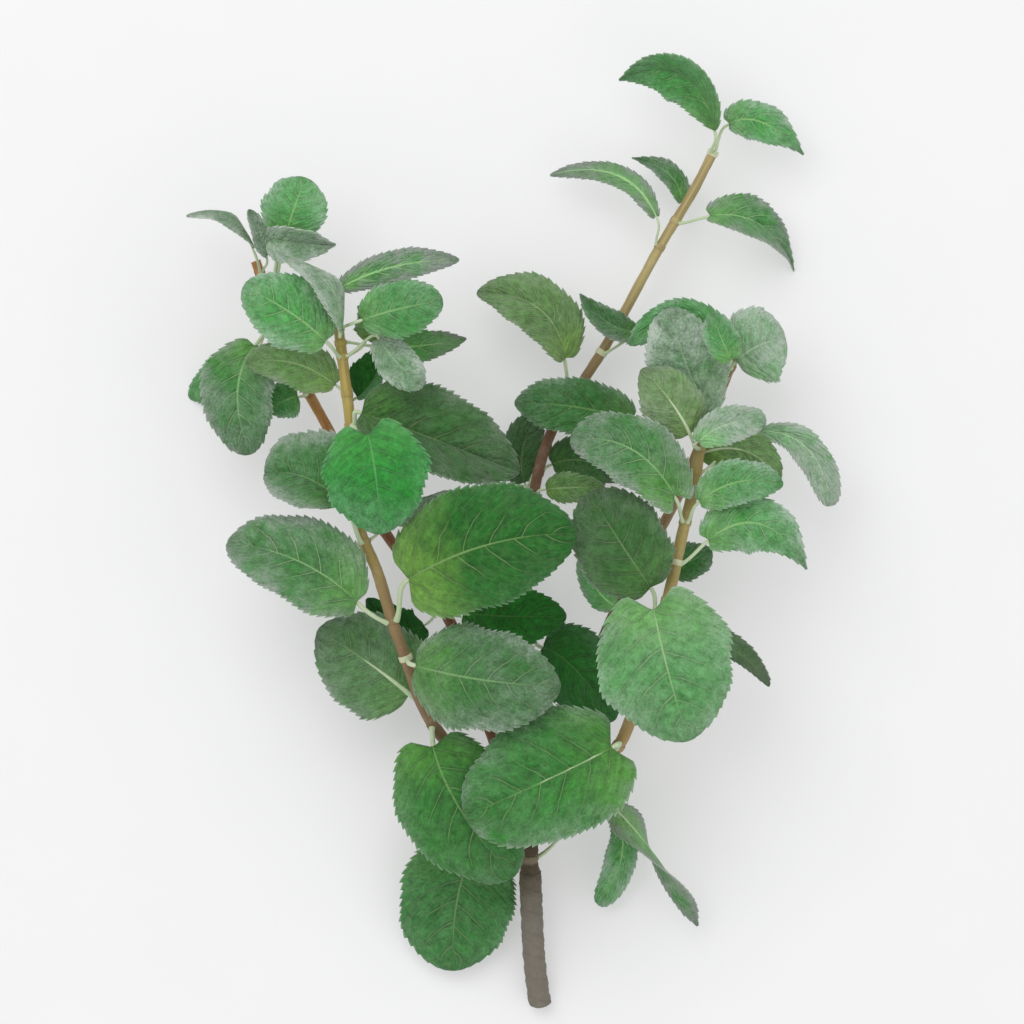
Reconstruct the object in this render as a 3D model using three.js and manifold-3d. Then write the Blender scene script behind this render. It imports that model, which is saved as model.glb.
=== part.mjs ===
// A sprig of mint lying on a table: a taped main stem, five branch stems and pairs of toothed leaves
// that sit on pale collars. Millimetres, Z up, the cut end of the main stem towards -Y.

import * as THREE from 'three';
import Module from 'manifold-3d';
import { mergeVertices } from 'three/addons/utils/BufferGeometryUtils.js';

// Driving sizes
const BLADE_THICKNESS = 0.7;
const BLADE_START = 0.06;
const TOOTH_DEPTH = 0.9;
const TOOTH_PITCH = 5.2;
const FEWEST_TEETH = 3;
const MOST_TEETH = 8;
const BASE_CORNER = 0.2;
const LOBE_RISE = 0.006;
const LOBE_REACH = 0.12;
const STALK_RADIUS = 0.42;
const STALK_GROWTH = 0.011;
const STALK_STEPS = 3;
const COLLAR_LENGTH = 4.0;
const COLLAR_WALL = 0.9;
const COLLAR_GAP = 0.35;
const COLLAR_SIDES = 8;
const STEM_SIDES = 8;
const STEM_STEPS = 2;
const BRANCH_FOOT_RADIUS = 1.0;
const BRANCH_FOOT_LENGTH = 16;
const BRANCH_TAPER = 0.001;
const MAIN_SIDES = 16;
const MAIN_RIPPLE = 0.12;
const WAVE = 0.8;
const SHORTEST_EDGE = 0.06;
const MAIN_STEPS = 18;
const MAIN_NECK_MIDDLE = 7;
const MAIN_NECK_END = 12;
const MAIN_NECK_RADIUS = 2.6;

// How a blade's outline runs from its base to its tip, by the kind of leaf: widest is where,
// swell and point round off the base and the tip, lobe is how far the base corners reach back.
const OUTLINES = {
  ovate: { widest: 0.4, swell: 0.5, point: 0.62, lobe: 0.03 },
  round: { widest: 0.45, swell: 0.46, point: 0.5, lobe: 0.04 },
  broad: { widest: 0.36, swell: 0.4, point: 0.6, lobe: 0.05 },
  lobed: { widest: 0.38, swell: 0.42, point: 0.5, lobe: 0.11 },
  heart: { widest: 0.36, swell: 0.44, point: 0.6, lobe: 0.19 },
  keen: { widest: 0.36, swell: 0.5, point: 1.1, lobe: 0.05 },
  slim: { widest: 0.45, swell: 0.75, point: 1.0, lobe: 0 },
  blunt: { widest: 0.6, swell: 0.6, point: 0.35, lobe: 0 },
  lance: { widest: 0.38, swell: 0.65, point: 0.85, lobe: 0.01 },
};

const MAIN_LOOK = { color: 0x6e6458, roughness: 0.85 };
const BRANCH_LOOK = { color: 0x96703f, roughness: 0.7 };
const LEAF_LOOKS = {
  main_stem: { color: 0x3f7a35, roughness: 0.8 },
  left_front: { color: 0x4b8646, roughness: 0.8 },
  left_back: { color: 0x4f8a55, roughness: 0.8 },
  middle: { color: 0x3c6f3d, roughness: 0.8 },
  right_front: { color: 0x578a5c, roughness: 0.8 },
  right_back: { color: 0x66886c, roughness: 0.8 },
};

const UP = new THREE.Vector3(0, 0, 1);
const wasm = await Module();
wasm.setup();

function point(values) {
  return new THREE.Vector3(values[0], values[1], values[2]);
}

function radians(degrees) {
  return THREE.MathUtils.degToRad(degrees);
}

// One leaf: the start, middle and tip of its midrib, its greatest width and the kind of outline.
// Roll and twist turn it about the midrib, folds lift its left and right halves and curl bends its edges.
// Behind is 0 where the stalk runs straight into the midrib and 1 where it comes up from under the blade.
function leaf(base, mid, tip, width, kind, { roll = 0, twist = 0, folds = [10, 10], curl = -20, behind = 0 }) {
  return { base: point(base), mid: point(mid), tip: point(tip), width, kind, roll, twist, folds, curl, behind };
}

// Each branch's centre line from the main stem outwards.
const STEMS = {
  main_stem: {
    radius: 3.5,
    path: [
      [5.5, -96, 20.5], [5.6, -104, 18.2], [6, -115, 15], [7, -135, 8.6],
      [8.8, -150.5, 3.5],
    ],
  },
  left_front: {
    radius: 2,
    path: [
      [4.2, -96.1, 22.3], [3.2, -91.3, 24], [-10, -78, 31], [-26, -58, 40],
      [-33, -39.5, 45], [-36.5, -30, 46.5], [-42, -12, 48], [-46, -3, 48.5],
      [-48, 5, 49], [-50, 33, 50], [-52, 50, 50], [-54, 65.5, 50],
    ],
  },
  left_back: {
    radius: 1.9,
    path: [
      [3.4, -95.5, 20], [2.4, -90.6, 21], [-8, -60, 17], [-20, -28, 15],
      [-28, -17, 15], [-38.5, -3, 15], [-48, 12, 15], [-58, 32, 16],
      [-65.5, 46, 17], [-72, 62, 18], [-80.6, 84.5, 20],
    ],
  },
  middle: {
    radius: 1.9,
    path: [
      [5.5, -95, 18.5], [5.5, -90.2, 19], [4.5, -70, 15], [4.5, -40, 13],
      [5, -8, 13], [7.5, 14.5, 13], [12.5, 31, 13], [22.5, 47, 14],
      [29.8, 58.5, 15], [46.5, 89, 17], [57, 106.5, 18], [63.5, 119.2, 19],
    ],
  },
  right_front: {
    radius: 2,
    path: [
      [6.8, -96.1, 22.3], [7.8, -91.3, 24], [19, -82, 32], [33, -67, 42],
      [37, -58, 44], [43, -40, 46], [49.5, -16, 47], [53, 0, 47],
      [56, 12, 47], [58.5, 28, 47],
    ],
  },
  right_back: {
    radius: 1.8,
    path: [
      [7.7, -95.4, 19.9], [8.9, -90.6, 20.8], [18, -60, 17], [34.5, -21.5, 16],
      [53, 12, 18], [62.5, 36, 22], [67.5, 48.5, 25], [70.5, 56, 27],
    ],
  },
};

// Leaves by the collar they share: the stem it sits on, where on it, and each leaf's shape.
const PAIRS = [
  {
    name: 'left_front_pair_1',
    stem: 'left_front',
    at: [-24, -60.5],
    leaves: [
      leaf([-24.5, -66.9, 46], [-16, -86.5, 46], [0.5, -108, 38], 36, 'lobed',
        { folds: [8, 8], curl: -25, behind: 0.6 }),
      leaf([-31.8, -51.2, 36.5], [-44.7, -41.3, 36], [-60.5, -31, 33], 32, 'ovate',
        { roll: 180, folds: [10, 10], curl: -20 }),
    ],
  },
  {
    name: 'left_front_pair_2',
    stem: 'left_front',
    at: [-33, -39.5],
    leaves: [
      leaf([-29.5, -41.8, 56], [-8, -46, 64], [15, -48, 60], 33, 'ovate',
        { folds: [8, 8], curl: -25 }),
    ],
  },
  {
    name: 'left_front_pair_3',
    stem: 'left_front',
    at: [-37.8, -28.5],
    leaves: [
      leaf([-48, -22, 54], [-66.2, -9.3, 58], [-88, -4, 50], 29, 'ovate',
        { folds: [48, 10], curl: -30 }),
      leaf([-31.6, -15, 58], [-7, -4.3, 70], [20, -1, 64], 38, 'broad',
        { folds: [12, 20], curl: -25 }),
    ],
  },
  {
    name: 'left_front_pair_4',
    stem: 'left_front',
    at: [-46.5, -4],
    leaves: [
      leaf([-53, 9, 54], [-64.5, 16.5, 52], [-76.5, 17.5, 48], 31, 'ovate',
        { folds: [62, 8], curl: -10 }),
      leaf([-36, 3, 44], [-27, 8, 42], [-17, 12, 40], 12, 'ovate',
        { roll: 60, folds: [20, 20], curl: -10 }),
    ],
  },
  {
    name: 'left_front_pair_5',
    stem: 'left_front',
    at: [-50, 32],
    leaves: [
      leaf([-44, 29.3, 66], [-41.4, 14.8, 70], [-40.4, -1.2, 64], 33, 'heart',
        { folds: [8, 8], curl: -25, behind: 1 }),
      leaf([-46.4, 36.1, 54.5], [-24.7, 28.2, 53.5], [2.3, 17.7, 50], 32, 'ovate',
        { folds: [5, 59], curl: -18 }),
    ],
  },
  {
    name: 'left_front_pair_6',
    stem: 'left_front',
    at: [-51, 42],
    leaves: [
      leaf([-54.8, 45.1, 44.5], [-68, 51.9, 43.5], [-82.6, 52, 44], 15, 'ovate',
        { folds: [8, 28], curl: -20 }),
      leaf([-48, 41.3, 41], [-42.7, 47.2, 41], [-40.1, 57.2, 40], 17, 'ovate',
        { folds: [5, 80], curl: -10 }),
    ],
  },
  {
    name: 'left_front_pair_7',
    stem: 'left_front',
    at: [-52.4, 53.5],
    leaves: [
      leaf([-57.4, 58.3, 60], [-68.9, 67.4, 64], [-82.6, 74.8, 60], 21.5, 'round',
        { folds: [12, 12], curl: -25 }),
      leaf([-40.6, 58.4, 60], [-34.8, 50.9, 64], [-27.3, 44.1, 62], 12.5, 'round',
        { folds: [10, 20], curl: -12 }),
      leaf([-44.7, 58.9, 52], [-44.2, 63.7, 53], [-47.6, 69.2, 52], 9.5, 'keen',
        { folds: [12, 12], curl: -12 }),
    ],
  },
  {
    name: 'left_front_pair_8',
    stem: 'left_front',
    at: [-53.1, 58],
    leaves: [
      leaf([-42.5, 56.9, 49], [-29.2, 57, 48], [-14.2, 59.4, 44], 11, 'lance',
        { folds: [15, 15], curl: -10 }),
    ],
  },
  {
    name: 'left_front_pair_9',
    stem: 'left_front',
    at: [-53.6, 62.5],
    leaves: [
      leaf([-52.3, 61.4, 64], [-56.5, 75.4, 69], [-72.1, 84.9, 60], 13, 'ovate',
        { roll: 56, folds: [0, 0], curl: -10 }),
      leaf([-45.5, 64.5, 68], [-33.5, 67.9, 70], [-21.2, 70.3, 66], 17, 'round',
        { folds: [12, 12], curl: -25 }),
      leaf([-52.2, 74.9, 58], [-35.4, 81.3, 58], [-16.3, 83.3, 54], 10, 'ovate',
        { folds: [10, 10], curl: -10 }),
    ],
  },
  {
    name: 'left_back_pair_2',
    stem: 'left_back',
    at: [-24, -23],
    leaves: [
      leaf([-27.5, -30, 28], [-35, -30, 28], [-45.5, -21.5, 26], 12, 'ovate',
        { folds: [15, 15], curl: -15 }),
      leaf([-15, -26, 26], [0, -27, 30], [17, -27, 26], 20, 'ovate',
        { folds: [12, 12], curl: -20 }),
    ],
  },
  {
    name: 'left_back_pair_3',
    stem: 'left_back',
    at: [-64, 43],
    leaves: [
      leaf([-67.3, 41.7, 27], [-71.3, 40.4, 28], [-76.6, 37.4, 27], 12, 'ovate',
        { folds: [12, 12], curl: -15 }),
    ],
  },
  {
    name: 'left_back_pair_4',
    stem: 'left_back',
    at: [-74, 67],
    leaves: [
      leaf([-80.3, 57.4, 34], [-85.4, 42.6, 38], [-81.7, 23.6, 32], 22.5, 'round',
        { folds: [12, 12], curl: -20 }),
      leaf([-84, 53, 14], [-93, 47.5, 11], [-102.5, 42, 0.3], 13, 'ovate',
        { folds: [12, 12], curl: -20 }),
    ],
  },
  {
    name: 'left_back_pair_5',
    stem: 'left_back',
    at: [-76.5, 73.5],
    leaves: [
      leaf([-70.5, 91.5, 39], [-67.5, 100, 43], [-64, 109.5, 39], 20.5, 'round',
        { folds: [10, 10], curl: -25 }),
      leaf([-74.4, 90.3, 44], [-65.9, 88.9, 47], [-54.7, 88.5, 45], 15, 'keen',
        { folds: [62, 35], curl: -15, behind: 0.7 }),
    ],
  },
  {
    name: 'left_back_pair_6',
    stem: 'left_back',
    at: [-79.3, 81],
    leaves: [
      leaf([-80.8, 88, 30], [-88.8, 97.3, 33], [-101.5, 98.3, 31], 9.5, 'blunt',
        { roll: 66, folds: [0, 0], curl: -10 }),
      leaf([-76.9, 86.1, 27], [-79, 92.5, 30], [-82.3, 100.1, 31], 7.5, 'ovate',
        { roll: 30, folds: [25, 25], curl: -10 }),
    ],
  },
  {
    name: 'middle_pair_1',
    stem: 'middle',
    at: [4.5, -34],
    leaves: [
      leaf([10, -37, 20], [20, -44, 24], [32, -60, 20], 24, 'ovate',
        { folds: [12, 12], curl: -15 }),
    ],
  },
  {
    name: 'middle_pair_2',
    stem: 'middle',
    at: [7, 11],
    leaves: [
      leaf([11, 12.8, 22], [18.6, 13.3, 23], [29.1, 13.5, 22], 9.5, 'ovate',
        { folds: [12, 12], curl: -15 }),
    ],
  },
  {
    name: 'middle_pair_3',
    stem: 'middle',
    at: [8.3, 18],
    leaves: [
      leaf([4, 15, 8], [3.5, 26, 6], [9, 38, 3], 14, 'ovate',
        { folds: [12, 12], curl: -15 }),
      leaf([12.7, 20.7, 8], [23.3, 21.9, 7], [36.5, 17.2, 4], 16, 'ovate',
        { folds: [12, 12], curl: -15 }),
    ],
  },
  {
    name: 'middle_pair_4',
    stem: 'middle',
    at: [19.5, 42.5],
    leaves: [
      leaf([16.5, 54, 24], [8, 69.5, 26], [-11, 74.5, 18], 20, 'ovate',
        { folds: [45, 10], curl: -20 }),
      leaf([37.6, 34.6, 24], [19, 38.6, 27], [0.8, 39.7, 25], 18.5, 'ovate',
        { folds: [12, 12], curl: -15 }),
    ],
  },
  {
    name: 'middle_pair_5',
    stem: 'middle',
    at: [28, 56],
    leaves: [
      leaf([39, 63, 24], [30.5, 64.5, 27], [21.3, 74, 25], 10, 'lance',
        { folds: [40, 20], curl: -10 }),
    ],
  },
  {
    name: 'middle_pair_6',
    stem: 'middle',
    at: [46.5, 89],
    leaves: [
      leaf([45.2, 98.4, 22], [32.7, 111.5, 21], [12.1, 111.9, 12], 7.2, 'ovate',
        { roll: 180, folds: [15, 15], curl: -15 }),
    ],
  },
  {
    name: 'middle_pair_7',
    stem: 'middle',
    at: [51.5, 97],
    leaves: [
      leaf([53.5, 103.5, 12.5], [49, 112.6, 12], [37.9, 117.5, 10], 8, 'keen',
        { folds: [50, 15], curl: -15 }),
      leaf([62.2, 98.4, 23], [78, 95.8, 19], [89.5, 82.3, 0.3], 14.5, 'keen',
        { folds: [10, 60], curl: -15 }),
    ],
  },
  {
    name: 'middle_pair_8',
    stem: 'middle',
    at: [63, 118.5],
    leaves: [
      leaf([63.5, 125.2, 27], [52.8, 142.3, 29], [33.7, 141.3, 21], 17.5, 'slim',
        { folds: [8, 68], curl: -15 }),
      leaf([68.3, 127.6, 21], [78.9, 127.9, 21], [91.9, 118.4, 13], 13, 'keen',
        { folds: [30, 15], curl: -20 }),
    ],
  },
  {
    name: 'right_front_pair_0',
    stem: 'right_front',
    at: [33, -67],
    leaves: [
      leaf([30.8, -67, 54.2], [9.5, -77.4, 56], [-14.6, -88, 53], 42, 'lobed',
        { folds: [38, 8], curl: -25 }),
    ],
  },
  {
    name: 'right_front_pair_1',
    stem: 'right_front',
    at: [45.5, -31],
    leaves: [
      leaf([42.6, -17.5, 53], [33.5, -4, 57], [23.8, 11.6, 52], 28.5, 'round',
        { folds: [15, 15], curl: -20 }),
      leaf([54, -33, 40], [69.5, -37.5, 38], [80.2, -48.8, 32], 9, 'ovate',
        { roll: 180, twist: 60, folds: [12, 12], curl: -10 }),
    ],
  },
  {
    name: 'right_front_pair_2',
    stem: 'right_front',
    at: [47.9, -22],
    leaves: [
      leaf([43.5, -24.3, 62], [47.9, -43.9, 69], [54.2, -64.6, 62], 42, 'heart',
        { folds: [8, 8], curl: -20, behind: 1 }),
    ],
  },
  {
    name: 'right_front_pair_3',
    stem: 'right_front',
    at: [50.8, -10],
    leaves: [
      leaf([60.8, -3, 50.5], [76.9, 1.8, 53], [91.1, -12.1, 48], 18.5, 'keen',
        { folds: [15, 15], curl: -20 }),
    ],
  },
  {
    name: 'right_front_pair_4',
    stem: 'right_front',
    at: [53.7, 2.5],
    leaves: [
      leaf([49.9, 10.7, 58], [36.1, 25.2, 62], [18, 27.7, 54], 21.5, 'lobed',
        { folds: [18, 18], curl: -20 }),
      leaf([58, 9, 54], [70, 15, 58], [83.5, 14, 54], 14, 'ovate',
        { folds: [15, 15], curl: -20 }),
    ],
  },
  {
    name: 'right_front_pair_5',
    stem: 'right_front',
    at: [57, 18],
    leaves: [
      leaf([58.6, 23.7, 43], [72.5, 24.4, 42], [83.1, 14.8, 38], 15, 'ovate',
        { roll: 180, folds: [12, 12], curl: -15 }),
      leaf([76.7, 30.9, 36], [92.1, 25.5, 34], [100, 7.6, 24], 10.5, 'blunt',
        { roll: 20, folds: [10, 20], curl: -10 }),
    ],
  },
  {
    name: 'right_front_pair_6',
    stem: 'right_front',
    at: [58, 25],
    leaves: [
      leaf([57.5, 27.6, 56], [67.4, 33.1, 58], [78.1, 33, 56], 12.5, 'round',
        { roll: 20, folds: [22, 22], curl: -15 }),
      leaf([54.7, 29.6, 56], [48.7, 39.6, 60], [40, 49.7, 54], 18.5, 'ovate',
        { roll: 180, folds: [12, 12], curl: -10 }),
    ],
  },
  {
    name: 'main_stem_pair',
    stem: 'main_stem',
    at: [5.5, -103],
    leaves: [
      leaf([-12, -100, 15], [-17.5, -118, 14], [-18.5, -139.5, 8], 37, 'round',
        { folds: [8, 8], curl: -25 }),
      leaf([31, -87.9, 16], [34.9, -101.5, 14], [27.3, -118.7, 8], 10, 'blunt',
        { roll: 20, folds: [10, 10], curl: -10 }),
      leaf([31.1, -86.3, 24], [45.6, -103.6, 20], [58.7, -125.1, 10], 14, 'lance',
        { roll: 170, twist: -160, folds: [10, 10], curl: -10 }),
    ],
  },
  {
    name: 'right_back_pair_1',
    stem: 'right_back',
    at: [33, -25],
    leaves: [
      leaf([32, -23.5, 26], [26.5, -18.5, 28], [21, -9, 26], 9, 'ovate',
        { folds: [12, 12], curl: -15 }),
    ],
  },
  {
    name: 'right_back_pair_2',
    stem: 'right_back',
    at: [40, -12],
    leaves: [
      leaf([48.6, -11.3, 30], [56, -9.5, 30], [62.3, -6, 28], 12, 'ovate',
        { folds: [12, 12], curl: -15 }),
    ],
  },
  {
    name: 'right_back_pair_3',
    stem: 'right_back',
    at: [65, 42.5],
    leaves: [
      leaf([60, 36, 42], [53, 54, 46], [48.7, 69, 42], 24, 'ovate',
        { folds: [10, 10], curl: -20 }),
    ],
  },
  {
    name: 'right_back_pair_4',
    stem: 'right_back',
    at: [68.6, 51],
    leaves: [
      leaf([67.6, 54.3, 36], [53.8, 65.5, 38], [36.5, 57.7, 34], 13.5, 'ovate',
        { folds: [10, 10], curl: -10 }),
      leaf([70, 52.8, 36], [77, 57.5, 38], [85.3, 59.6, 34], 24.5, 'round',
        { folds: [12, 12], curl: -20 }),
      leaf([67.6, 53, 51], [64.4, 59.5, 53.5], [61.7, 67.5, 52], 11, 'ovate',
        { folds: [28, 28], curl: -10, behind: 0.6 }),
    ],
  },
];

// ---- Centre lines of the stems ----

function centreLine(stem) {
  return new THREE.CatmullRomCurve3(stem.path.map(point));
}

// The spot on a stem nearest to a place seen from above, with the stem's direction there.
function nearestOnStem(stem, at) {
  const curve = centreLine(stem);
  const samples = 600;
  let best = 0;
  let nearest = Infinity;
  for (let i = 0; i <= samples; i += 1) {
    const spot = curve.getPoint(i / samples);
    const distance = Math.hypot(spot.x - at[0], spot.y - at[1]);
    if (distance < nearest) {
      nearest = distance;
      best = i / samples;
    }
  }
  return { spot: curve.getPoint(best), direction: curve.getTangent(best) };
}

// ---- A leaf's surface ----

function halfWidth(one, along) {
  const { widest, swell, point: sharpness } = OUTLINES[one.kind];
  const reach = one.width / 2;
  if (along < widest) {
    return reach * (BLADE_START + (1 - BLADE_START) * (1 - (1 - along / widest) ** 2) ** swell);
  }
  const rest = (along - widest) / (1 - widest);
  return reach * Math.max(0, 1 - rest * rest) ** sharpness;
}

function midribControl(one) {
  return one.mid.clone().multiplyScalar(2).addScaledVector(one.base, -0.5).addScaledVector(one.tip, -0.5);
}

function midribSpot(one, along) {
  const control = midribControl(one);
  if (along < 0) {
    return one.base.clone().addScaledVector(control.sub(one.base), 2 * along);
  }
  return one.base.clone().multiplyScalar((1 - along) ** 2)
    .addScaledVector(control, 2 * along * (1 - along))
    .addScaledVector(one.tip, along * along);
}

function midribTangent(one, along) {
  const t = Math.min(Math.max(along, 0), 1);
  const control = midribControl(one);
  const out = control.clone().sub(one.base).multiplyScalar(1 - t);
  return out.addScaledVector(one.tip.clone().sub(control), t).normalize();
}

// Directions at a place on the midrib: forward, to the leaf's left, and out of its upper face.
function leafFrame(one, along) {
  const forward = midribTangent(one, along);
  const left = UP.clone().cross(one.tip.clone().sub(one.base));
  left.addScaledVector(forward, -left.dot(forward)).normalize();
  const out = forward.clone().cross(left);
  const turn = radians(one.roll + one.twist * Math.min(Math.max(along, 0), 1));
  const side = left.multiplyScalar(Math.cos(turn)).addScaledVector(out, Math.sin(turn));
  return { forward, left: side, out: forward.clone().cross(side) };
}

function faceDirection(one, frame, side, across) {
  const fold = side > 0 ? one.folds[0] : one.folds[1];
  const angle = radians(fold + one.curl * across);
  return frame.out.clone().multiplyScalar(Math.cos(angle))
    .addScaledVector(frame.left, -side * Math.sin(angle));
}

// A place on the blade's middle surface. Across runs from 0 at the midrib to 1 at the edge.
function bladeSpot(one, along, side, across, extra = 0) {
  const { lobe } = OUTLINES[one.kind];
  const back = lobe * (1 - Math.exp(-along / LOBE_RISE)) * Math.exp(-along / LOBE_REACH);
  const place = along - back * across * across;
  const frame = leafFrame(one, place);
  const fold = side > 0 ? one.folds[0] : one.folds[1];
  const angle = radians(fold + one.curl * across / 2);
  const reach = across * halfWidth(one, along) + extra;
  const phase = side > 0 ? 1 : 2.6;
  const wave = WAVE * Math.sin(2 * Math.PI * 1.7 * along + phase) * across * across * (1 - along);
  const spot = midribSpot(one, place)
    .addScaledVector(frame.left, side * reach * Math.cos(angle))
    .addScaledVector(frame.out, reach * Math.sin(angle) + wave);
  return { spot, up: faceDirection(one, frame, side, across) };
}

// ---- A leaf's closed solid ----

class Shell {
  constructor() {
    this.top = [];
    this.bottom = [];
    this.faces = [];
  }

  vertex(spot, up, above, below) {
    this.top.push(spot.clone().addScaledVector(up, above));
    this.bottom.push(spot.clone().addScaledVector(up, -below));
    return this.top.length - 1;
  }

  // Faces are given for the right half and turned over for the left half.
  face(side, a, b, c) {
    this.faces.push(side > 0 ? [a, c, b] : [a, b, c]);
  }

  // Triangles between an inner and an outer chain that end at the same vertex.
  strip(side, inner, outer) {
    let i = 0;
    let j = 0;
    while (i < inner.length - 1 || j < outer.length - 1) {
      const takeInner = (i + 1) / inner.length <= (j + 1) / outer.length;
      if (j >= outer.length - 1 || (i < inner.length - 1 && takeInner)) {
        if (inner[i + 1] !== outer[j]) {
          this.face(side, inner[i], outer[j], inner[i + 1]);
        }
        i += 1;
      } else {
        if (outer[j + 1] !== inner[i]) {
          this.face(side, inner[i], outer[j], outer[j + 1]);
        }
        j += 1;
      }
    }
  }

  // Both faces carry the same triangles, and a wall joins them along the loop.
  solid(loop) {
    const count = this.top.length;
    const triangles = [];
    for (const [a, b, c] of this.faces) {
      triangles.push(a, b, c, a + count, c + count, b + count);
    }
    for (let k = 0; k < loop.length; k += 1) {
      const a = loop[k];
      const b = loop[(k + 1) % loop.length];
      triangles.push(a, a + count, b + count, a, b + count, b);
    }
    return toSolid([...this.top, ...this.bottom], triangles);
  }
}

function toSolid(vertices, triangles) {
  const vertProperties = new Float32Array(vertices.flatMap((v) => [v.x, v.y, v.z]));
  const mesh = new wasm.Mesh({ numProp: 3, vertProperties, triVerts: new Uint32Array(triangles) });
  return new wasm.Manifold(mesh);
}

// The stalk leaves the collar on the leaf's side and runs into the midrib, or up to it from under the blade.
function stalkCurve(one, collar) {
  const away = one.base.clone().sub(collar.spot);
  away.addScaledVector(collar.direction, -away.dot(collar.direction)).normalize();
  const start = collar.spot.clone().addScaledVector(away, collar.radius + COLLAR_GAP + 0.45);
  const reach = start.distanceTo(one.base);
  const { forward, out } = leafFrame(one, 0);
  const arrival = forward.multiplyScalar(1 - one.behind).addScaledVector(out, one.behind).normalize();
  const end = one.base.clone().addScaledVector(arrival, -1.4);
  const first = start.clone().lerp(end, 0.3).addScaledVector(away, reach * 0.08);
  const second = end.clone().addScaledVector(arrival, -reach * 0.3);
  return new THREE.CubicBezierCurve3(start, first, second, end);
}

function leafSolid(one, collar) {
  const shell = new Shell();
  const half = BLADE_THICKNESS / 2;
  const stalk = STALK_RADIUS + STALK_GROWTH * one.width;
  const curve = stalkCurve(one, collar);

  // Stalk rows, carried back from the blade so that the section doesn't turn.
  const rows = [];
  let side = leafFrame(one, 0).left;
  for (let row = STALK_STEPS; row >= 0; row -= 1) {
    const forward = curve.getTangent(row / STALK_STEPS);
    side = side.clone().addScaledVector(forward, -side.dot(forward)).normalize();
    const out = forward.clone().cross(side);
    const spot = curve.getPoint(row / STALK_STEPS);
    rows[row] = {
      middle: shell.vertex(spot, out, stalk, stalk),
      [1]: shell.vertex(spot.clone().addScaledVector(side, stalk), out, half, half),
      [-1]: shell.vertex(spot.clone().addScaledVector(side, -stalk), out, half, half),
    };
  }

  // Midrib, thicker underneath towards the base.
  const length = one.base.distanceTo(one.mid) + one.mid.distanceTo(one.tip);
  const teeth = Math.round(THREE.MathUtils.clamp(length / TOOTH_PITCH, FEWEST_TEETH, MOST_TEETH));
  const stations = Math.max(2, Math.round(teeth / 2));
  const midrib = [];
  for (let k = 0; k <= stations; k += 1) {
    const along = k / stations;
    const frame = leafFrame(one, along);
    const leftUp = faceDirection(one, frame, 1, 0);
    const up = leftUp.clone().add(faceDirection(one, frame, -1, 0)).normalize();
    const spread = half / up.dot(leftUp);
    const swell = (stalk - half) * (1 - along) ** 2;
    midrib.push(shell.vertex(midribSpot(one, along), up, spread + swell * 0.4, spread + swell));
  }
  const tip = midrib[stations];

  const edges = {};
  for (const side of [1, -1]) {
    const middle = [];
    for (let k = 0; k < stations; k += 1) {
      const { spot, up } = bladeSpot(one, k / stations, side, 0.5);
      middle.push(shell.vertex(spot, up, half, half));
    }
    const edge = [];
    for (let k = 0; k < teeth; k += 1) {
      const valley = bladeSpot(one, k / teeth, side, 1);
      edge.push(shell.vertex(valley.spot, valley.up, half, half));
      if (k === 0) {
        const corner = bladeSpot(one, BASE_CORNER / teeth, side, 1);
        edge.push(shell.vertex(corner.spot, corner.up, half, half));
      }
      const peak = bladeSpot(one, (k + 0.7) / teeth, side, 1, TOOTH_DEPTH * (1 - 0.5 * k / teeth));
      edge.push(shell.vertex(peak.spot, peak.up, half, half));
    }
    for (let row = 0; row < STALK_STEPS; row += 1) {
      const now = rows[row];
      const next = rows[row + 1];
      shell.face(side, now.middle, now[side], next[side]);
      shell.face(side, now.middle, next[side], next.middle);
    }
    const last = rows[STALK_STEPS];
    shell.face(side, last.middle, last[side], midrib[0]);
    shell.face(side, last[side], middle[0], midrib[0]);
    shell.face(side, last[side], edge[0], middle[0]);
    shell.strip(side, midrib, [...middle, tip]);
    shell.strip(side, [...middle, tip], [...edge, tip]);
    edges[side] = [...rows.map((row) => row[side]), ...edge];
  }
  return shell.solid([...edges[-1], tip, ...edges[1].reverse(), rows[0].middle]);
}

// ---- Stems and collars ----

// A closed tube along a curve, with the radius given at each place along it.
function tube(curve, steps, sides, radiusAt) {
  const vertices = [];
  const triangles = [];
  let side = null;
  for (let row = 0; row <= steps; row += 1) {
    const forward = curve.getTangent(row / steps);
    side = side ?? UP.clone().cross(forward);
    side = side.clone().addScaledVector(forward, -side.dot(forward)).normalize();
    const other = forward.clone().cross(side);
    const centre = curve.getPoint(row / steps);
    const radius = radiusAt(row / steps);
    for (let k = 0; k < sides; k += 1) {
      const angle = 2 * Math.PI * k / sides;
      vertices.push(centre.clone()
        .addScaledVector(side, radius * Math.cos(angle))
        .addScaledVector(other, radius * Math.sin(angle)));
    }
  }
  for (let row = 0; row < steps; row += 1) {
    for (let k = 0; k < sides; k += 1) {
      const a = row * sides + k;
      const b = row * sides + (k + 1) % sides;
      triangles.push(a, b, b + sides, a, b + sides, a + sides);
    }
  }
  for (let k = 1; k < sides - 1; k += 1) {
    const top = steps * sides;
    triangles.push(0, k + 1, k, top, top + k, top + k + 1);
  }
  return toSolid(vertices, triangles);
}

function branchRadius(stem, distance) {
  const grown = Math.min(1, distance / BRANCH_FOOT_LENGTH);
  return THREE.MathUtils.lerp(BRANCH_FOOT_RADIUS, stem.radius, grown) * (1 - BRANCH_TAPER * distance);
}

function mainRadius(distance) {
  if (distance < MAIN_NECK_END) {
    const share = Math.abs(distance - MAIN_NECK_MIDDLE) / MAIN_NECK_MIDDLE;
    return THREE.MathUtils.lerp(MAIN_NECK_RADIUS, STEMS.main_stem.radius, Math.min(1, share) ** 2);
  }
  return STEMS.main_stem.radius + MAIN_RIPPLE * Math.sin(distance * 1.9);
}

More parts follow.
